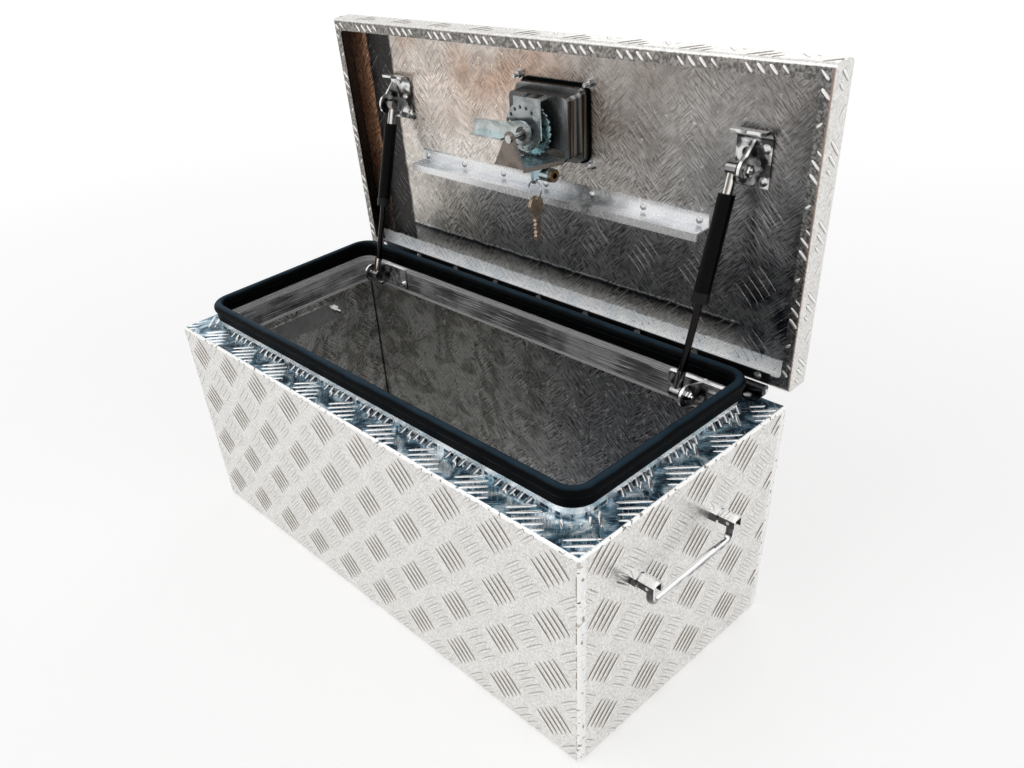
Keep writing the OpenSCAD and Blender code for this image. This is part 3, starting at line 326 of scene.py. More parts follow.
def lid_material():
    """Tread plate of the lid: pale outside; on the panel inside, painted reflections of dark and warm things, band by
    band, and painted shade.
    """
    n = Nodes("tread_lid")
    place = n.split(n.coords.outputs["Object"])
    facing = n.split(n.coords.outputs["Normal"])
    marks = painted_bar_lines(n, plate_shade(n, 4.0), 0.18)
    speck = n.noise(330, 3)
    outside = sheet_tone(n, (0.76, 0.745, 0.72), n.ramp(speck, 0.35, 0.65), 0.13)
    wander = n.ramp(n.noise(7, 5), 0.3, 0.7, -0.06, 0.06)
    ripple = n.ramp(n.noise(45, 4), 0.3, 0.7, -0.0012, 0.0012)
    height = n.math("ADD", place[2], wander)
    across = n.math("ADD", place[0], wander)
    level = n.math("ADD", place[2], ripple)
    edge = n.math("ADD", place[0], ripple)
    # painted reflections on the panel inside: warm and grey bands, other tones below the stiffener, a dark band, a
    # pale ledge band and a thin bright line near the foot
    warm = n.mix(n.ramp(n.noise(9, 4), 0.42, 0.60), (0.62, 0.56, 0.51), (0.50, 0.36, 0.28))
    warm = n.mix(n.ramp(across, -0.05, 0.22), warm, (0.27, 0.25, 0.235))
    grey = n.mix(n.ramp(across, -0.05, 0.26), (0.80, 0.745, 0.69), (0.27, 0.27, 0.27))
    tone = n.mix(n.ramp(height, 0.50, 0.60), grey, warm)
    under = n.mix(n.ramp(across, -0.20, -0.10), (0.62, 0.58, 0.53), (0.32, 0.322, 0.325))
    under = n.mix(n.ramp(across, 0.0, 0.2), under, (0.25, 0.25, 0.258))
    tone = n.mix(n.ramp(level, STIFF_Z - 6 * MM, STIFF_Z), under, tone)
    tone = n.mix(n.ramp(level, *DARK_TOP), (0.03, 0.033, 0.042), tone)
    ledge = n.mix(n.ramp(level, *LEDGE_FADE), (0.50, 0.49, 0.47), (0.24, 0.225, 0.21))
    tone = n.mix(n.ramp(level, *LEDGE_TOP), ledge, tone)
    line = n.math("MULTIPLY", n.ramp(level, *LINE_FOOT), n.ramp(level, *LINE_TOP))
    tone = n.mix(line, tone, (0.75, 0.75, 0.75))
    # painted shadow on the right of the panel, patched dark and grey, and darker still beyond it
    shadow = n.math("MULTIPLY", n.ramp(across, 0.27, 0.31), n.ramp(height, 0.46, 0.40))
    tone = n.mix(n.ramp(across, 0.30, 0.35), tone, (0.075, 0.076, 0.078))
    pool = n.mix(n.ramp(n.noise(26, 4), 0.45, 0.6), (0.03, 0.034, 0.046), (0.32, 0.322, 0.33))
    tone = n.mix(shadow, tone, pool)
    # painted reflections toward the left edge: dark, then copper
    tone = n.mix(n.ramp(edge, *DARK_EDGE), (0.035, 0.033, 0.032), tone)
    copper = n.mix(n.ramp(place[2], 0.36, 0.46), (0.20, 0.16, 0.135), (0.95, 0.52, 0.31))
    tone = n.mix(n.ramp(edge, *COPPER_EDGE), copper, tone)
    # painted shade on inner faces that look to the right
    tone = n.mix(n.ramp(facing[0], 0.5, 0.7), tone, (0.022, 0.022, 0.023))
    swirl = n.ramp(n.noise(24, 5, distort=2.5), 0.36, 0.64)
    streaks = n.mix(marks, (0.42, 0.41, 0.40), (1.50, 1.50, 1.51))
    calm = n.mix(swirl, (0.74, 0.73, 0.72), (1.22, 1.22, 1.23))
    streaks = n.mix(n.ramp(n.noise(16, 4), 0.40, 0.60, 0.30, 0.85), streaks, calm)
    streaks = n.mix(n.ramp(n.noise(170, 3, distort=1.0), 0.66, 0.72), streaks, (2.0, 2.0, 2.0))
    streaks = n.mix(n.ramp(n.noise(130, 3, (1, 1, 0.5), 1.5), 0.36, 0.31), streaks, (0.35, 0.35, 0.35))
    shade = n.add("ShaderNodeMix", data_type="RGBA", blend_type="MULTIPLY")
    shade.inputs["Factor"].default_value = 1.0
    n.link(tone, shade.inputs["A"])
    n.link(streaks, shade.inputs["B"])
    # painted reflection: the rim's inward lip mirrors the dark panel, browner toward its outer edge
    lip = n.mix(n.ramp(speck, 0.40, 0.60), (0.13, 0.125, 0.12), (0.36, 0.335, 0.31))
    brown = n.mix(n.ramp(speck, 0.40, 0.60), (0.08, 0.079, 0.078), (0.27, 0.26, 0.25))
    lip = n.mix(n.ramp(place[0], 0.30, 0.36), lip, brown)
    lip = n.mix(n.ramp(place[0], LID_HALF_W - 6 * MM, LID_HALF_W - 4.5 * MM), lip, (0.34, 0.25, 0.20))
    outside = n.mix(n.ramp(facing[1], -0.90, -0.97), outside, lip)
    # painted reflection of the white sky on the rear wall, level when the lid stands open, and on the foot of the
    # panel over it
    foot = n.mix(n.ramp(n.noise(40, 3), 0.36, 0.58), (0.84, 0.88, 0.91), (1.0, 1.0, 1.0))
    within = n.inside(LID_CENTRE)
    bright = n.math("MAXIMUM", n.ramp(level, *FOOT_TOP), n.ramp(facing[2], 0.5, 0.7))
    bright = n.math("MULTIPLY", bright, within)
    bright = n.math("MULTIPLY", bright, n.ramp(n.math("ABSOLUTE", facing[0]), 0.7, 0.5))
    color = n.mix(within, outside, shade.outputs["Result"])
    color = n.mix(bright, color, foot)
    rough = n.ramp(marks, 0.0, 1.0, 0.22, 0.36)
    normal = n.bump(marks, 0.25, 0.0008)
    normal = n.bump(speck, 0.14, 0.0006, normal)
    return n.finish(color, rough, n.ramp(bright, 0.0, 1.0, 0.9, 0.25), normal)


def bar_material(name, dark, color, bright, line=(0.68, 0.78), shine=(0.28, 0.46), rough=0.3, foot=0.0):
    """Raised bars with painted shade and painted highlights across their width: u runs from the lower edge to the
    upper one, v along the bar.

    Bars of the first slant have painted shade along the upper edge, with a painted highlight below it, and by foot
    along the lower edge; those of the other slant, 2 further on in v, have soft painted shade along both edges and at
    one tip, and a painted highlight down the middle."""
    n = Nodes(name)
    u, v, _ = n.split(n.coords.outputs["UV"])
    speck = n.noise(300, 3)
    flat = sheet_tone(n, color, n.ramp(speck, 0.35, 0.65), 0.10)
    lines = n.mix(n.ramp(u, *shine), flat, bright)
    lines = n.mix(n.ramp(u, *line), lines, dark)
    lines = n.mix(n.ramp(u, 0.20, 0.10, 0.0, foot), lines, dark)
    leaves = n.mix(n.ramp(n.math("ABSOLUTE", n.math("SUBTRACT", u, 0.5)), 0.12, 0.02, 0.0, 0.7), flat, bright)
    leaves = n.mix(n.ramp(u, 0.70, 0.86, 0.0, 0.55), leaves, dark)
    leaves = n.mix(n.ramp(u, 0.24, 0.12, 0.0, 0.33), leaves, dark)
    leaves = n.mix(n.ramp(v, 2.86, 2.96, 0.0, 0.8), leaves, dark)
    tone = n.mix(n.math("GREATER_THAN", v, 1.5), lines, leaves)
    return n.finish(tone, n.ramp(speck, 0.3, 0.7, rough - 0.05, rough + 0.05), 0.85, n.bump(speck, 0.10, 0.0005))


def metal(name, color, rough, grain=0.1, tint=None, metallic=1.0, stretch=(1, 1, 6)):
    """Brushed, plated or sheet metal; tint mottles it with a second colour."""
    n = Nodes(name)
    streak = n.noise(120, 3, stretch)
    tone = n.mix(n.ramp(streak, 0.35, 0.65), tuple(c * (1 - grain) for c in color), color)
    if tint is not None:
        tone = n.mix(n.ramp(n.noise(55, 4), 0.45, 0.62), tone, tint)
    return n.finish(tone, n.ramp(streak, 0.3, 0.7, rough * 0.8, rough * 1.25), metallic, n.bump(streak, 0.08, 0.0003))


def polished_painted_bands(name, stops, rough, metallic=1.0, cap=None, toward=2):
    """Polished metal with painted reflections, toned in bands as a dark horizon shows in chrome; cap is the tone of
    its end faces.

    The bands run by how far a face looks along one axis: toward is 2 for upward and 0 for to the right."""
    n = Nodes(name)
    facing = n.split(n.coords.outputs["Normal"])
    wobble = n.ramp(n.noise(90, 2), 0.3, 0.7, -0.05, 0.05)
    ramp = n.add("ShaderNodeValToRGB")
    while len(ramp.color_ramp.elements) < len(stops):
        ramp.color_ramp.elements.new(0.5)
    for element, (place, tone) in zip(ramp.color_ramp.elements, stops):
        element.position = place
        element.color = (*(tone if isinstance(tone, tuple) else (tone, tone, tone)), 1)
    n.link(n.ramp(n.math("ADD", facing[toward], wobble), -1, 1), ramp.inputs[0])
    tone = ramp.outputs["Color"]
    if cap is not None:
        end = n.ramp(n.math("ABSOLUTE", facing[0]), 0.90, 0.97)
        tone = n.mix(end, tone, n.mix(n.ramp(n.noise(60, 2), 0.4, 0.6), tuple(c * 0.35 for c in cap), cap))
    fine = n.noise(220, 3)
    return n.finish(tone, n.ramp(fine, 0.3, 0.7, rough * 0.7, rough * 1.4), metallic, n.bump(fine, 0.05, 0.0003))


def dish_steel():
    """Drawn steel dish with painted reflections: dark top, brown-striped sides, a floor that pales upward, painted
    highlights at its rounded edges.
    """
    n = Nodes("stainless")
    place = n.split(n.coords.outputs["Object"])
    facing = n.split(n.coords.outputs["Normal"])
    stripes = n.noise(150, 2, (1, 1, 0.02))
    side = n.mix(n.ramp(stripes, 0.42, 0.60), (0.025, 0.022, 0.020), (0.30, 0.275, 0.25))
    low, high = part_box("latch_dish")
    floor = n.mix(n.ramp(place[2], low[2], high[2]), (0.022, 0.024, 0.026), (0.13, 0.13, 0.13))
    floor = n.mix(n.ramp(place[2], high[2] - 16 * MM, high[2] - 9 * MM), floor, (0.42, 0.42, 0.42))
    floor = n.mix(n.ramp(place[0], high[0] - 44 * MM, high[0] - 14 * MM, 0.0, 0.75), floor, (0.40, 0.40, 0.40))
    tone = n.mix(n.ramp(n.math("ABSOLUTE", facing[1]), 0.75, 0.9), side, floor)
    tone = n.mix(n.ramp(facing[2], 0.7, 0.9), tone, (0.02, 0.02, 0.022))
    shares = [n.math("ABSOLUTE", facing[i]) for i in range(3)]
    largest = n.math("MAXIMUM", n.math("MAXIMUM", shares[0], shares[1]), shares[2])
    edge = n.mix(n.ramp(stripes, 0.4, 0.6), (0.40, 0.40, 0.40), (1.0, 1.0, 1.0))
    tone = n.mix(n.ramp(largest, 0.94, 0.84, 0.0, 0.9), tone, edge)
    return n.finish(tone, n.ramp(stripes, 0.3, 0.7, 0.22, 0.34), 0.9, n.bump(stripes, 0.1, 0.0004))


def plated(name, front, top, rim, spread=0.3, scale=55, metallic=0.8):
    """Zinc-plated sheet with painted reflections: one tone on faces across the spindle, another on faces that look
    up, and another at cut edges.
    """
    n = Nodes(name)
    facing = n.split(n.coords.outputs["Normal"])
    cloud = n.noise(scale, 4, distort=0.8)
    level = n.math("ABSOLUTE", facing[1])
    tone = n.mix(n.ramp(level, 0.6, 0.85), n.mix(n.ramp(facing[2], 0.1, 0.5), rim, top),
                 sheet_tone(n, front, n.ramp(cloud, 0.38, 0.62), spread))
    streak = n.noise(140, 3, (1, 1, 4))
    return n.finish(tone, n.ramp(streak, 0.3, 0.7, 0.2, 0.34), metallic, n.bump(streak, 0.1, 0.0003))


def bracket_sheet():
    """Bent bracket with painted reflections: dark on its ear's sides, grey on its foot, white at its edges and on
    top.
    """
    n = Nodes("bracket_sheet")
    facing = n.split(n.coords.outputs["Normal"])
    cloud = n.noise(55, 4, distort=0.6)
    foot = n.mix(n.ramp(cloud, 0.44, 0.56), (0.05, 0.05, 0.05), (0.85, 0.85, 0.84))
    side = n.mix(n.ramp(cloud, 0.46, 0.60), (0.025, 0.025, 0.026), (0.40, 0.39, 0.38))
    tone = n.mix(n.ramp(n.math("ABSOLUTE", facing[0]), 0.85, 0.95), (1.0, 1.0, 1.0), side)
    tone = n.mix(n.ramp(facing[1], -0.90, -0.97), tone, foot)
    fine = n.noise(240, 3)
    return n.finish(tone, n.ramp(fine, 0.3, 0.7, 0.14, 0.26), 0.75, n.bump(cloud, 0.10, 0.0008))


def stiffener_sheet():
    """Smooth shelf with painted reflections: blue-white on top with a darker strip along the panel, white along its
    front edge.
    """
    n = Nodes("stiffener_sheet")
    place = n.split(n.coords.outputs["Object"])
    facing = n.split(n.coords.outputs["Normal"])
    cloud = n.noise(14, 3, (0.5, 1, 1))
    top = n.mix(n.ramp(cloud, 0.40, 0.60), (0.34, 0.42, 0.48), (0.96, 0.97, 1.0))
    tone = n.mix(n.ramp(facing[2], 0.5, 0.8), (1.0, 1.0, 1.0), top)
    grey = n.mix(n.ramp(n.noise(60, 3), 0.45, 0.6), (0.14, 0.145, 0.15), (0.5, 0.5, 0.5))
    tone = n.mix(n.math("MULTIPLY", n.ramp(place[0], 0.02, 0.06), n.ramp(place[0], 0.14, 0.09, 0.0, 0.8)), tone, grey)
    fine = n.noise(240, 3)
    return n.finish(tone, n.ramp(fine, 0.3, 0.7, 0.2, 0.32), 0.5, n.bump(fine, 0.06, 0.0003))


def seal_rubber():
    """Extruded rubber: black sides, a painted blue-grey sheen along the top."""
    n = Nodes("rubber")
    facing = n.split(n.coords.outputs["Normal"])
    fine = n.noise(260, 3)
    sheen = n.ramp(n.math("ADD", facing[2], n.ramp(n.noise(25, 3), 0.3, 0.7, -0.08, 0.08)), 0.70, 1.0)
    tone = n.mix(sheen, (0.001, 0.0015, 0.002), (0.024, 0.046, 0.066))
    n.shader.inputs["Specular IOR Level"].default_value = 0.04
    return n.finish(tone, n.ramp(fine, 0.3, 0.7, 0.40, 0.55), 0.0, n.bump(fine, 0.1, 0.0004))


def soft(name, color, rough, grain=260, depth=0.12, coat=0.0, specular=0.5):
    """Rubber, paint or plastic with a fine grain."""
    n = Nodes(name)
    fine = n.noise(grain, 3)
    tone = n.mix(n.ramp(n.noise(14, 4), 0.35, 0.65), tuple(c * 0.8 for c in color), tuple(c * 1.2 for c in color))
    n.shader.inputs["Coat Weight"].default_value = coat
    n.shader.inputs["Coat Roughness"].default_value = 0.15
    n.shader.inputs["Specular IOR Level"].default_value = specular
    return n.finish(tone, n.ramp(fine, 0.3, 0.7, rough * 0.85, rough * 1.15), 0.0, n.bump(fine, depth, 0.0004))


# painted reflections, toned by how far a face looks along an axis: 0 straight against it, 0.5 square to it, 1
# straight along it;
# the upright bands run from left to right, the others from down to up
CHROME_BANDS = ((0.0, 0.45), (0.40, 0.20), (0.50, 0.09), (0.59, 0.02),
                (0.66, 0.04), (0.72, 0.32), (0.80, 0.85), (0.90, 0.98))
UPRIGHT_BANDS = ((0.0, 0.04), (0.22, 0.55), (0.36, 0.97), (0.48, 0.30),
                 (0.60, 0.08), (0.70, (0.50, 0.38, 0.30)), (0.84, 0.92), (1.0, 0.10))
ZINC_BANDS = ((0.0, 0.25), (0.25, 0.12), (0.42, 0.30), (0.50, 0.62),
              (0.62, 0.80), (0.72, 0.25), (0.84, 0.92), (1.0, 0.97))

BODY_CENTRE = (0, 0, 0.15)
LID_CENTRE = tuple(lid_matrix() @ Vector((0, 5 * MM, 326 * MM)))
body_plate = body_material()
lid_plate = lid_material()
# the bars' tones across their width: painted shade, the sheet's colour and painted highlights
outer_bars = bar_material("bars_pale", (0.25, 0.215, 0.185), (0.80, 0.785, 0.76), (0.97, 0.965, 0.95), foot=0.8)
flange_bars = bar_material("bars_flange", (0.03, 0.06, 0.09), (0.93, 0.96, 0.97), (1.0, 1.0, 1.0), rough=0.2)
# on the upstand's stubs the painted tones swap: painted shade across the middle, a painted highlight along the upper
# edge
stub_bars = bar_material("bars_upstand", (1.0, 1.0, 1.0), (0.90, 0.93, 0.95), (0.07, 0.09, 0.11),
                         (0.72, 0.80), (0.22, 0.32), 0.2)
smooth = metal("smooth_sheet", (0.86, 0.87, 0.88), 0.22, 0.25, metallic=0.6)
weld = weld_material()
rubber = seal_rubber()
dark_steel = metal("dark_steel", (0.05, 0.052, 0.057), 0.34, 0.3)
zinc_bright = polished_painted_bands("zinc_bright", ZINC_BANDS, 0.2, 0.8)
chrome = polished_painted_bands("chrome", CHROME_BANDS, 0.09, cap=(0.80, 0.80, 0.80))
# the rod's near-black is a painted reflection of dark surroundings
rod_chrome = metal("rod_chrome", (0.018, 0.016, 0.016), 0.16, 0.3)
black_paint = soft("black_paint", (0.001, 0.001, 0.0012), 0.30, 400, 0.04, 0.0, 0.07)
black_plastic = soft("black_plastic", (0.004, 0.004, 0.005), 0.45, specular=0.2)
stainless = dish_steel()
zinc_blue = metal("zinc_blue", (0.46, 0.56, 0.60), 0.22, 0.25, (0.22, 0.36, 0.42))
upright_chrome = polished_painted_bands("chrome_upright", UPRIGHT_BANDS, 0.1, toward=0)
brass = metal("brass", (0.56, 0.44, 0.33), 0.3, 0.3, (0.30, 0.23, 0.17), metallic=0.8)
brackets = bracket_sheet()
OWN = {
    "rim_frame": frame_material(), "corner_welds": weld, "lid_stiffener": stiffener_sheet(),
    "lid_brackets": brackets, "body_brackets": brackets,
    "detent_plate": plated("zinc_grey", (0.31, 0.325, 0.33), (0.50, 0.55, 0.58), (0.85, 0.90, 0.92), 0.30),
    "index_plate": plated("zinc_teal", (0.30, 0.50, 0.56), (0.85, 0.95, 1.0), (0.02, 0.04, 0.05), 0.95, 90),
    "cam_bracket": plated("zinc_brown", (0.17, 0.145, 0.125), (0.42, 0.50, 0.55), (0.16, 0.14, 0.125), 0.30, 40),
    "cam_arm": plated("zinc_pale", (0.40, 0.43, 0.42), (0.80, 0.95, 1.0), (0.16, 0.26, 0.30), 0.45, 40),
    "lock_plug": metal("brass_dark", (0.30, 0.20, 0.12), 0.3, 0.4, (0.10, 0.07, 0.045)),
}

FINISH = {
    "tread_plate": body_plate, "lid_plate": lid_plate, "smooth_plate": smooth, "black_rubber": rubber,
    "hinge_metal": dark_steel, "plain_steel": zinc_bright, "chrome_parts": chrome, "black_paint": black_paint,
    "dark_plastic": black_plastic, "stainless": stainless, "zinc_plated": zinc_blue, "brass": brass,
}
for part in frame["record"]["subparts"]:
    node = frame["nodes"][part["node"]]
    node.data.materials.clear()
    node.data.materials.append(FINISH[part["material_slot"]])
for side in ("left", "right"):
    OWN[f"strut_rod_{side}"] = rod_chrome
    OWN[f"tube_socket_{side}"] = OWN[f"rod_socket_{side}"] = upright_chrome
for name, material in OWN.items():
    frame["nodes"][name].data.materials[0] = material


# ---------- raised tread bars ----------

BAR_L = 37 * MM
BAR_W = 5.2 * MM
BAR_H = 1.1 * MM
BAR_STEP = 9.2 * MM
BARS = 5
RINGS = 11
RING_POINTS = 7
SUNK = 0.15 * MM


class Plate:
    """A flat stretch of sheet: origin, two directions in its face and the way out of it."""

    def __init__(self, origin, u, v, out, carry=None):
        self.matrix = carry or Matrix.Identity(4)
        self.origin, self.u, self.v, self.out = Vector(origin), Vector(u), Vector(v), Vector(out)

    def point(self, u, v, h):
        return self.matrix @ (self.origin + self.u * u + self.v * v + self.out * h)


def inside_span(centre, direction, rect, half):
    """How much of the line through centre lies in rect, at most half a length each way."""
    low, high = -half, half
    for c, d, a, b in ((centre[0], direction[0], rect[0], rect[1]), (centre[1], direction[1], rect[2], rect[3])):
        ends = sorted(((a - c) / d, (b - c) / d))
        low, high = max(low, ends[0]), min(high, ends[1])
    return low, high


def add_bar(points, coords, faces, plate, centre, direction, rect, height, width, length=BAR_L, kind=0):
    """One lens-shaped bar, cut short where the sheet ends."""
    half = length / 2
    low, high = inside_span(centre, direction, rect, half)
    if high - low < 5 * MM:
        return
    across = (-direction[1], direction[0])
    rings = []
    for i in range(RINGS):
        t = low + (high - low) * (0.5 - 0.5 * math.cos(math.pi * i / (RINGS - 1)))
        full = math.sqrt(max(0.0, 1 - (t / half) ** 2))
        end = min(1.0, (t - low) / (2.2 * MM), (high - t) / (2.2 * MM))
        swell = full ** 0.8 * math.sqrt(max(0.0, end))
        if i in (0, RINGS - 1):
            spot = (centre[0] + direction[0] * t, centre[1] + direction[1] * t)
            points.append(plate.point(*spot, -SUNK))
            coords.append((0.5, kind + i / (RINGS - 1)))
            rings.append([len(points) - 1])
            continue
        ring = []
        for k in range(RING_POINTS):
            w = 2 * k / (RING_POINTS - 1) - 1
            u = centre[0] + direction[0] * t + across[0] * w * width / 2 * swell
            v = centre[1] + direction[1] * t + across[1] * w * width / 2 * swell
            u = min(max(u, rect[0]), rect[1])
            v = min(max(v, rect[2]), rect[3])
            rise = -SUNK if k in (0, RING_POINTS - 1) else height * swell * (1 - w * w) ** 0.7
            points.append(plate.point(u, v, rise))
            coords.append(((w + 1) / 2, kind + i / (RINGS - 1)))
            ring.append(len(points) - 1)
        rings.append(ring)
    for a, b in zip(rings, rings[1:]):
        if len(a) == 1:
            faces.extend((a[0], b[k], b[k + 1]) for k in range(len(b) - 1))
        elif len(b) == 1:
            faces.extend((a[k + 1], a[k], b[0]) for k in range(len(a) - 1))
        else:
            faces.extend((a[k], b[k], b[k + 1], a[k + 1]) for k in range(len(a) - 1))
    left = [r[0] for r in rings]
    right = [r[-1] for r in rings[1:-1]]
    faces.append(tuple(right + left[::-1]))


def groups(rect, anchor, slant):
    """Centres of the groups round rect: those of the first slant, then the others half a pitch on."""
    reach = BAR_L
    for shift, sign in ((0.0, slant), (PITCH / 2, -slant)):
        u0, v0 = anchor[0] + shift, anchor[1] + shift
        i0 = math.ceil((rect[0] - reach - u0) / PITCH)
        i1 = math.floor((rect[1] + reach - u0) / PITCH)
        j0 = math.ceil((rect[2] - reach - v0) / PITCH)
        j1 = math.floor((rect[3] + reach - v0) / PITCH)
        for i in range(i0, i1 + 1):
            for j in range(j0, j1 + 1):
                yield (u0 + i * PITCH, v0 + j * PITCH), sign


def bar_piece(name, body, points, coords, faces, material):
    """Makes the bars one piece that rides on body; coords are their texture coordinates."""
    mesh = bpy.data.meshes.new(name)
    mesh.from_pydata([tuple(p) for p in points], [], faces)
    mesh.update()
    mesh.validate()
    mesh.polygons.foreach_set("use_smooth", [True] * len(mesh.polygons))
    layer = mesh.uv_layers.new(name="across")
    layer.data.foreach_set("uv", [x for loop in mesh.loops for x in coords[loop.vertex_index]])
    piece = bpy.data.objects.new(name, mesh)
    bpy.context.scene.collection.objects.link(piece)
    mesh.materials.append(material)
    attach(piece, body)
    return piece


def tread(name, body, stretches, material, height=BAR_H, width=BAR_W, holes=()):
    """Raised bars on one or more stretches of sheet: (plate, rect, anchor, slant)."""
    points, coords, faces = [], [], []
    for plate, rect, anchor, slant in stretches:
        for centre, sign in groups(rect, anchor, slant):
            along = (math.sqrt(0.5), sign * math.sqrt(0.5))
            kind = 0 if sign == slant else 2
            for k in range(BARS):
                off = (k - (BARS - 1) / 2) * BAR_STEP
                spot = (centre[0] - along[1] * off, centre[1] + along[0] * off)
                if any(a < spot[0] < b and c < spot[1] < d for a, b, c, d in holes):
                    continue
                if rect[0] - BAR_L < spot[0] < rect[1] + BAR_L and rect[2] - BAR_L < spot[1] < rect[3] + BAR_L:
                    add_bar(points, coords, faces, plate, spot, along, rect, height, width, kind=kind)
    return bar_piece(name, body, points, coords, faces, material)


X, Y, Z = (1, 0, 0), (0, 1, 0), (0, 0, 1)
EDGE = 2.2 * MM            # bars stop this far from a bend
STRIP = 11 * MM            # and this far from a corner weld, on the end faces
low_z, high_z = EDGE, FLANGE_Z - EDGE
side_u = HALF_W - EDGE
front_face = Plate((0, FRONT_Y, 0), X, Z, (0, -1, 0))
rear_face = Plate((0, REAR_Y, 0), X, Z, (0, 1, 0))
right_face = Plate((HALF_W, 0, 0), Y, Z, X)
left_face = Plate((-HALF_W, 0, 0), Y, Z, (-1, 0, 0))
FRONT_ANCHOR = (-187 * MM, 267.4 * MM)
END_ANCHOR = (-131 * MM, 202 * MM)
FLANGE_ANCHOR = (-4 * MM, -158 * MM)
wall_rect = (-side_u, side_u, low_z, high_z)
end_rect = (FRONT_Y + STRIP, REAR_Y - STRIP, low_z, high_z)
tread("bars_front", "case_body", [(front_face, wall_rect, FRONT_ANCHOR, -1)], outer_bars)
tread("bars_rear", "case_body", [(rear_face, wall_rect, FRONT_ANCHOR, 1)], outer_bars)
tread("bars_right", "case_body", [(right_face, end_rect, END_ANCHOR, 1)], outer_bars)
tread("bars_left", "case_body", [(left_face, end_rect, END_ANCHOR, 1)], outer_bars)

flange = Plate((0, 0, FLANGE_Z), X, Y, Z)
wall_out = UPSTAND - PLATE / 2
strip_in = wall_out - 1.5 * MM
FLANGE_EDGE = 2.5 * MM
front_strip = (-HALF_W + FLANGE_EDGE, HALF_W - FLANGE_EDGE, FRONT_Y + FLANGE_EDGE, FRONT_Y + strip_in)
rear_strip = (-HALF_W + FLANGE_EDGE, HALF_W - FLANGE_EDGE, REAR_Y - UPSTAND_REAR + 3 * MM, LEAF_FRONT_Y - 1 * MM)
inner_y = (FRONT_Y + strip_in, LEAF_FRONT_Y - 1 * MM)
right_strip = (HALF_W - strip_in, HALF_W - FLANGE_EDGE, *inner_y)
left_strip = (-HALF_W + FLANGE_EDGE, -HALF_W + strip_in, *inner_y)
tread("bars_flange", "case_body", [(flange, rect, FLANGE_ANCHOR, 1)
      for rect in (front_strip, rear_strip, right_strip, left_strip)], flange_bars)


CORNER_R = 24 * MM         # of the upstand's bends in plan
END_RUN = 110 * MM         # stubs on the ends keep within this of the middle


def stubs(name):
    """The bars that run off the flange and up the upstand, over the bend between them."""
    points, coords, faces = [], [], []
    rise, length, spacing = 7.5 * MM, 17 * MM, 11 * MM
    tilt = math.radians(44)
    reach, lift = wall_out - 3.8 * MM, FLANGE_Z + 0.8 * MM
    for origin, u, inward, span, start in (
            ((0, FRONT_Y + reach, lift), X, Y, HALF_W - UPSTAND - CORNER_R, FLANGE_ANCHOR[0]),
            ((HALF_W - reach, 0, lift), Y, (-1, 0, 0), END_RUN, FLANGE_ANCHOR[1]),
            ((-HALF_W + reach, 0, lift), Y, X, END_RUN, FLANGE_ANCHOR[1])):
        up = Vector(inward) * math.cos(tilt) + Vector(Z) * math.sin(tilt)
        out = Vector(Z) * math.cos(tilt) - Vector(inward) * math.sin(tilt)
        plate = Plate(origin, u, up, out)
        first = start + PITCH / 2
        for i in range(math.ceil((-span - first) / PITCH), math.floor((span - first) / PITCH) + 1):
            for k in range(BARS):
                spot = (first + i * PITCH + (k - (BARS - 1) / 2) * spacing, 0)
                lean = math.radians(90 - (14 if k % 2 else 24))
                add_bar(points, coords, faces, plate, spot, (math.cos(lean), math.sin(lean)),
                        (spot[0] - spacing, spot[0] + spacing, -rise, rise), 1.9 * MM, 6.2 * MM, length)
    return bar_piece(name, "case_body", points, coords, faces, stub_bars)


stubs("bars_upstand")

OPEN = lid_matrix()
lid_u = LID_HALF_W - 5.5 * MM
lid_v = (LID_FRONT_Y + 5.5 * MM, LID_REAR_Y - 5.5 * MM)
wall_v = (LID_RIM_Z + 4 * MM, LID_TOP_Z - 5.5 * MM)
dish_lo, dish_hi = (Vector(v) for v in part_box("latch_dish"))
DISH_KEEP = 9 * MM         # bars stay this far from the dish's sides
DISH_HALF = 60 * MM        # and this far from its middle, front and back
LATCH_RUN = 240 * MM       # from the hinge's pin to the latch, along the closed lid
latch_y = PIN.y - LATCH_RUN
dish_hole = (dish_lo.x - DISH_KEEP, dish_hi.x + DISH_KEEP, latch_y - DISH_HALF, latch_y + DISH_HALF)
tread("bars_lid_top", "lid", [(Plate((0, 0, LID_TOP_Z), X, Y, Z, OPEN), (-lid_u, lid_u, *lid_v), (0, 0), 1)],
      outer_bars, holes=[dish_hole])
tread("bars_lid_walls", "lid", [
    (Plate((0, LID_FRONT_Y, 0), X, Z, (0, -1, 0), OPEN), (-lid_u, lid_u, *wall_v), (0, LID_RIM_Z), 1),
    (Plate((0, LID_REAR_Y, 0), X, Z, (0, 1, 0), OPEN), (-lid_u, lid_u, *wall_v), (0, LID_RIM_Z), 1),
    (Plate((LID_HALF_W, 0, 0), Y, Z, X, OPEN), (*lid_v, *wall_v), (0, LID_RIM_Z), 1),
    (Plate((-LID_HALF_W, 0, 0), Y, Z, (-1, 0, 0), OPEN), (*lid_v, *wall_v), (0, LID_RIM_Z), 1),
], outer_bars)
lip_face = Plate((0, 0, LID_RIM_Z), X, Y, (0, 0, -1), OPEN)
lip_out, lip_in = 5 * MM, LIP - 1 * MM
tread("bars_lid_lip", "lid", [
    (lip_face, (-lid_u, lid_u, LID_FRONT_Y + lip_out, LID_FRONT_Y + lip_in), (0, 0), 1),
    (lip_face, (LID_HALF_W - lip_in, LID_HALF_W - lip_out, lid_v[0] + lip_in, lid_v[1] - lip_in), (0, 0), 1),
    (lip_face, (-LID_HALF_W + lip_out, -LID_HALF_W + lip_in, lid_v[0] + lip_in, lid_v[1] - lip_in), (0, 0), 1),
], outer_bars, height=0.8 * MM)

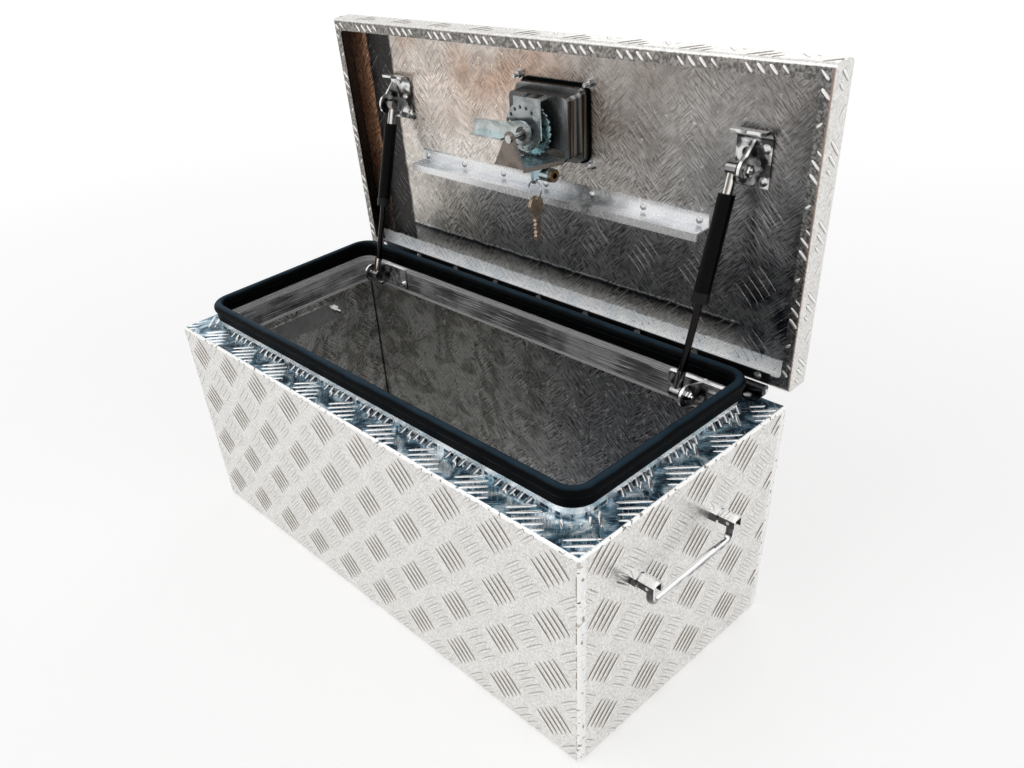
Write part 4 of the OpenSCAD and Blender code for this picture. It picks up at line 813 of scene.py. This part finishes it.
# the bars show through faintly on the inner faces
GHOST_H = 0.14 * MM
INNER_TOP = 268 * MM       # they end below the frame
inner_w = HALF_W - PLATE
inner_rect = (-inner_w + EDGE, inner_w - EDGE, PLATE + EDGE, INNER_TOP)
inner_end = (FRONT_Y + PLATE + EDGE, REAR_Y - PLATE - EDGE, PLATE + EDGE, INNER_TOP)
floor_rect = (-inner_w + EDGE, inner_w - EDGE, FRONT_Y + PLATE + EDGE, REAR_Y - PLATE - EDGE)
tread("bars_inside", "case_body", [
    (Plate((0, FRONT_Y + PLATE, 0), X, Z, Y), inner_rect, FRONT_ANCHOR, -1),
    (Plate((0, REAR_Y - PLATE, 0), X, Z, (0, -1, 0)), inner_rect, FRONT_ANCHOR, 1),
    (Plate((0, 0, PLATE), X, Y, Z), floor_rect, FLANGE_ANCHOR, 1),
    (Plate((-inner_w, 0, 0), Y, Z, X), inner_end, END_ANCHOR, 1),
    (Plate((inner_w, 0, 0), Y, Z, (-1, 0, 0)), inner_end, END_ANCHOR, 1),
], body_plate, height=GHOST_H)
lid_inner = Plate((0, 0, LID_TOP_Z - PLATE), X, Y, (0, 0, -1), OPEN)
tread("bars_lid_inside", "lid", [(lid_inner, (-lid_u, lid_u, *lid_v), (0, 0), 1)], lid_plate,
      height=GHOST_H, holes=[dish_hole])


# ---------- studio and camera ----------

FLOOR_HALF = 12            # metres from the floor's middle to its edges
FLOOR_BOOST = (0.34, 0.52) # glow of the floor by the case, and far from it
BOOST_REACH = (1.0, 9.0)   # squared distances in metres between which it changes
SKY_LIGHT = 0.55           # the sky's strength as a light; it looks as bright as 1
LAMP_LEVEL = 0.4           # scales the power of all three lamps


def stage_material(name, color, near, far):
    """Pale surface that the camera, and metal and glass, see a little brighter than its light makes it."""
    n = Nodes(name)
    n.shader.inputs["Roughness"].default_value = 0.9
    n.shader.inputs["Base Color"].default_value = (*color, 1)
    path = n.add("ShaderNodeLightPath")
    n.shader.inputs["Emission Color"].default_value = (1, 1, 1, 1)
    seen = n.math("MAXIMUM", path.outputs["Is Camera Ray"], path.outputs["Is Glossy Ray"])
    seen = n.math("MAXIMUM", seen, path.outputs["Is Transmission Ray"])
    place = n.split(n.coords.outputs["Object"])
    away = n.math("ADD", n.math("MULTIPLY", place[0], place[0]), n.math("MULTIPLY", place[1], place[1]))
    boost = n.ramp(away, *BOOST_REACH, near, far)
    n.link(n.math("MULTIPLY", seen, boost), n.shader.inputs["Emission Strength"])
    return n.material


def stage_floor():
    size = FLOOR_HALF
    mesh = bpy.data.meshes.new("floor")
    mesh.from_pydata([(-size, -size, 0), (size, -size, 0), (size, size, 0), (-size, size, 0)], [], [(0, 1, 2, 3)])
    floor = bpy.data.objects.new("floor", mesh)
    floor.location.z = -0.5 * MM
    bpy.context.scene.collection.objects.link(floor)
    mesh.materials.append(stage_material("floor_white", (0.85, 0.85, 0.85), *FLOOR_BOOST))


def studio_world():
    world = bpy.data.worlds.new("studio")
    bpy.context.scene.world = world
    world.use_nodes = True
    tree = world.node_tree
    shade = tree.nodes["Background"]
    path = tree.nodes.new("ShaderNodeLightPath")
    seen = tree.nodes.new("ShaderNodeMath")
    seen.operation = "MAXIMUM"
    both = tree.nodes.new("ShaderNodeMath")
    both.operation = "MAXIMUM"
    tree.links.new(path.outputs["Is Camera Ray"], seen.inputs[0])
    tree.links.new(path.outputs["Is Glossy Ray"], seen.inputs[1])
    tree.links.new(seen.outputs[0], both.inputs[0])
    tree.links.new(path.outputs["Is Transmission Ray"], both.inputs[1])
    level = tree.nodes.new("ShaderNodeMapRange")
    level.inputs["To Min"].default_value = SKY_LIGHT
    level.inputs["To Max"].default_value = 1.0
    tree.links.new(both.outputs[0], level.inputs["Value"])
    tree.links.new(level.outputs["Result"], shade.inputs["Strength"])
    shade.inputs["Color"].default_value = (1, 1, 1, 1)


def lamp(name, place, aim, size, power):
    light = bpy.data.lights.new(name, "AREA")
    light.shape = "RECTANGLE"
    light.size, light.size_y = size
    light.energy = LAMP_LEVEL * power
    holder = bpy.data.objects.new(name, light)
    holder.location = place
    holder.rotation_euler = (Vector(aim) - Vector(place)).to_track_quat("-Z", "Y").to_euler()
    bpy.context.scene.collection.objects.link(holder)


EYE = Vector((0.7636, -0.6154, 0.8330))
VIEW = Vector((-0.6408, 0.4817, -0.5978))
ROLL = math.radians(-7.2)
FOCAL = 871.8              # pixels, in a picture 1024 wide
AXIS_PX = (432.0, 488.3)   # where the camera's axis meets the picture
PICTURE = (1024, 768)
SENSOR = 36.0


def camera():
    data = bpy.data.cameras.new("camera")
    data.sensor_width = SENSOR
    data.lens = FOCAL * SENSOR / PICTURE[0]
    data.shift_x = (PICTURE[0] / 2 - AXIS_PX[0]) / PICTURE[0]
    data.shift_y = (AXIS_PX[1] - PICTURE[1] / 2) / PICTURE[0]
    data.clip_start = 0.01
    holder = bpy.data.objects.new("camera", data)
    turn = VIEW.to_track_quat("-Z", "Y").to_matrix() @ Matrix.Rotation(ROLL, 3, "Z")
    holder.matrix_world = Matrix.Translation(EYE) @ turn.to_4x4()
    bpy.context.scene.collection.objects.link(holder)
    bpy.context.scene.camera = holder


stage_floor()
studio_world()
lamp("key", (-0.6, -1.6, 2.4), (0, 0, 0.2), (2.0, 1.4), 28)
lamp("side", (2.4, 0.2, 1.6), (0, 0, 0.2), (1.6, 1.6), 14)
lamp("back", (-0.8, 2.2, 1.8), (0, 0, 0.3), (1.8, 1.2), 12)
camera()
bpy.context.scene.view_settings.view_transform = "Standard"
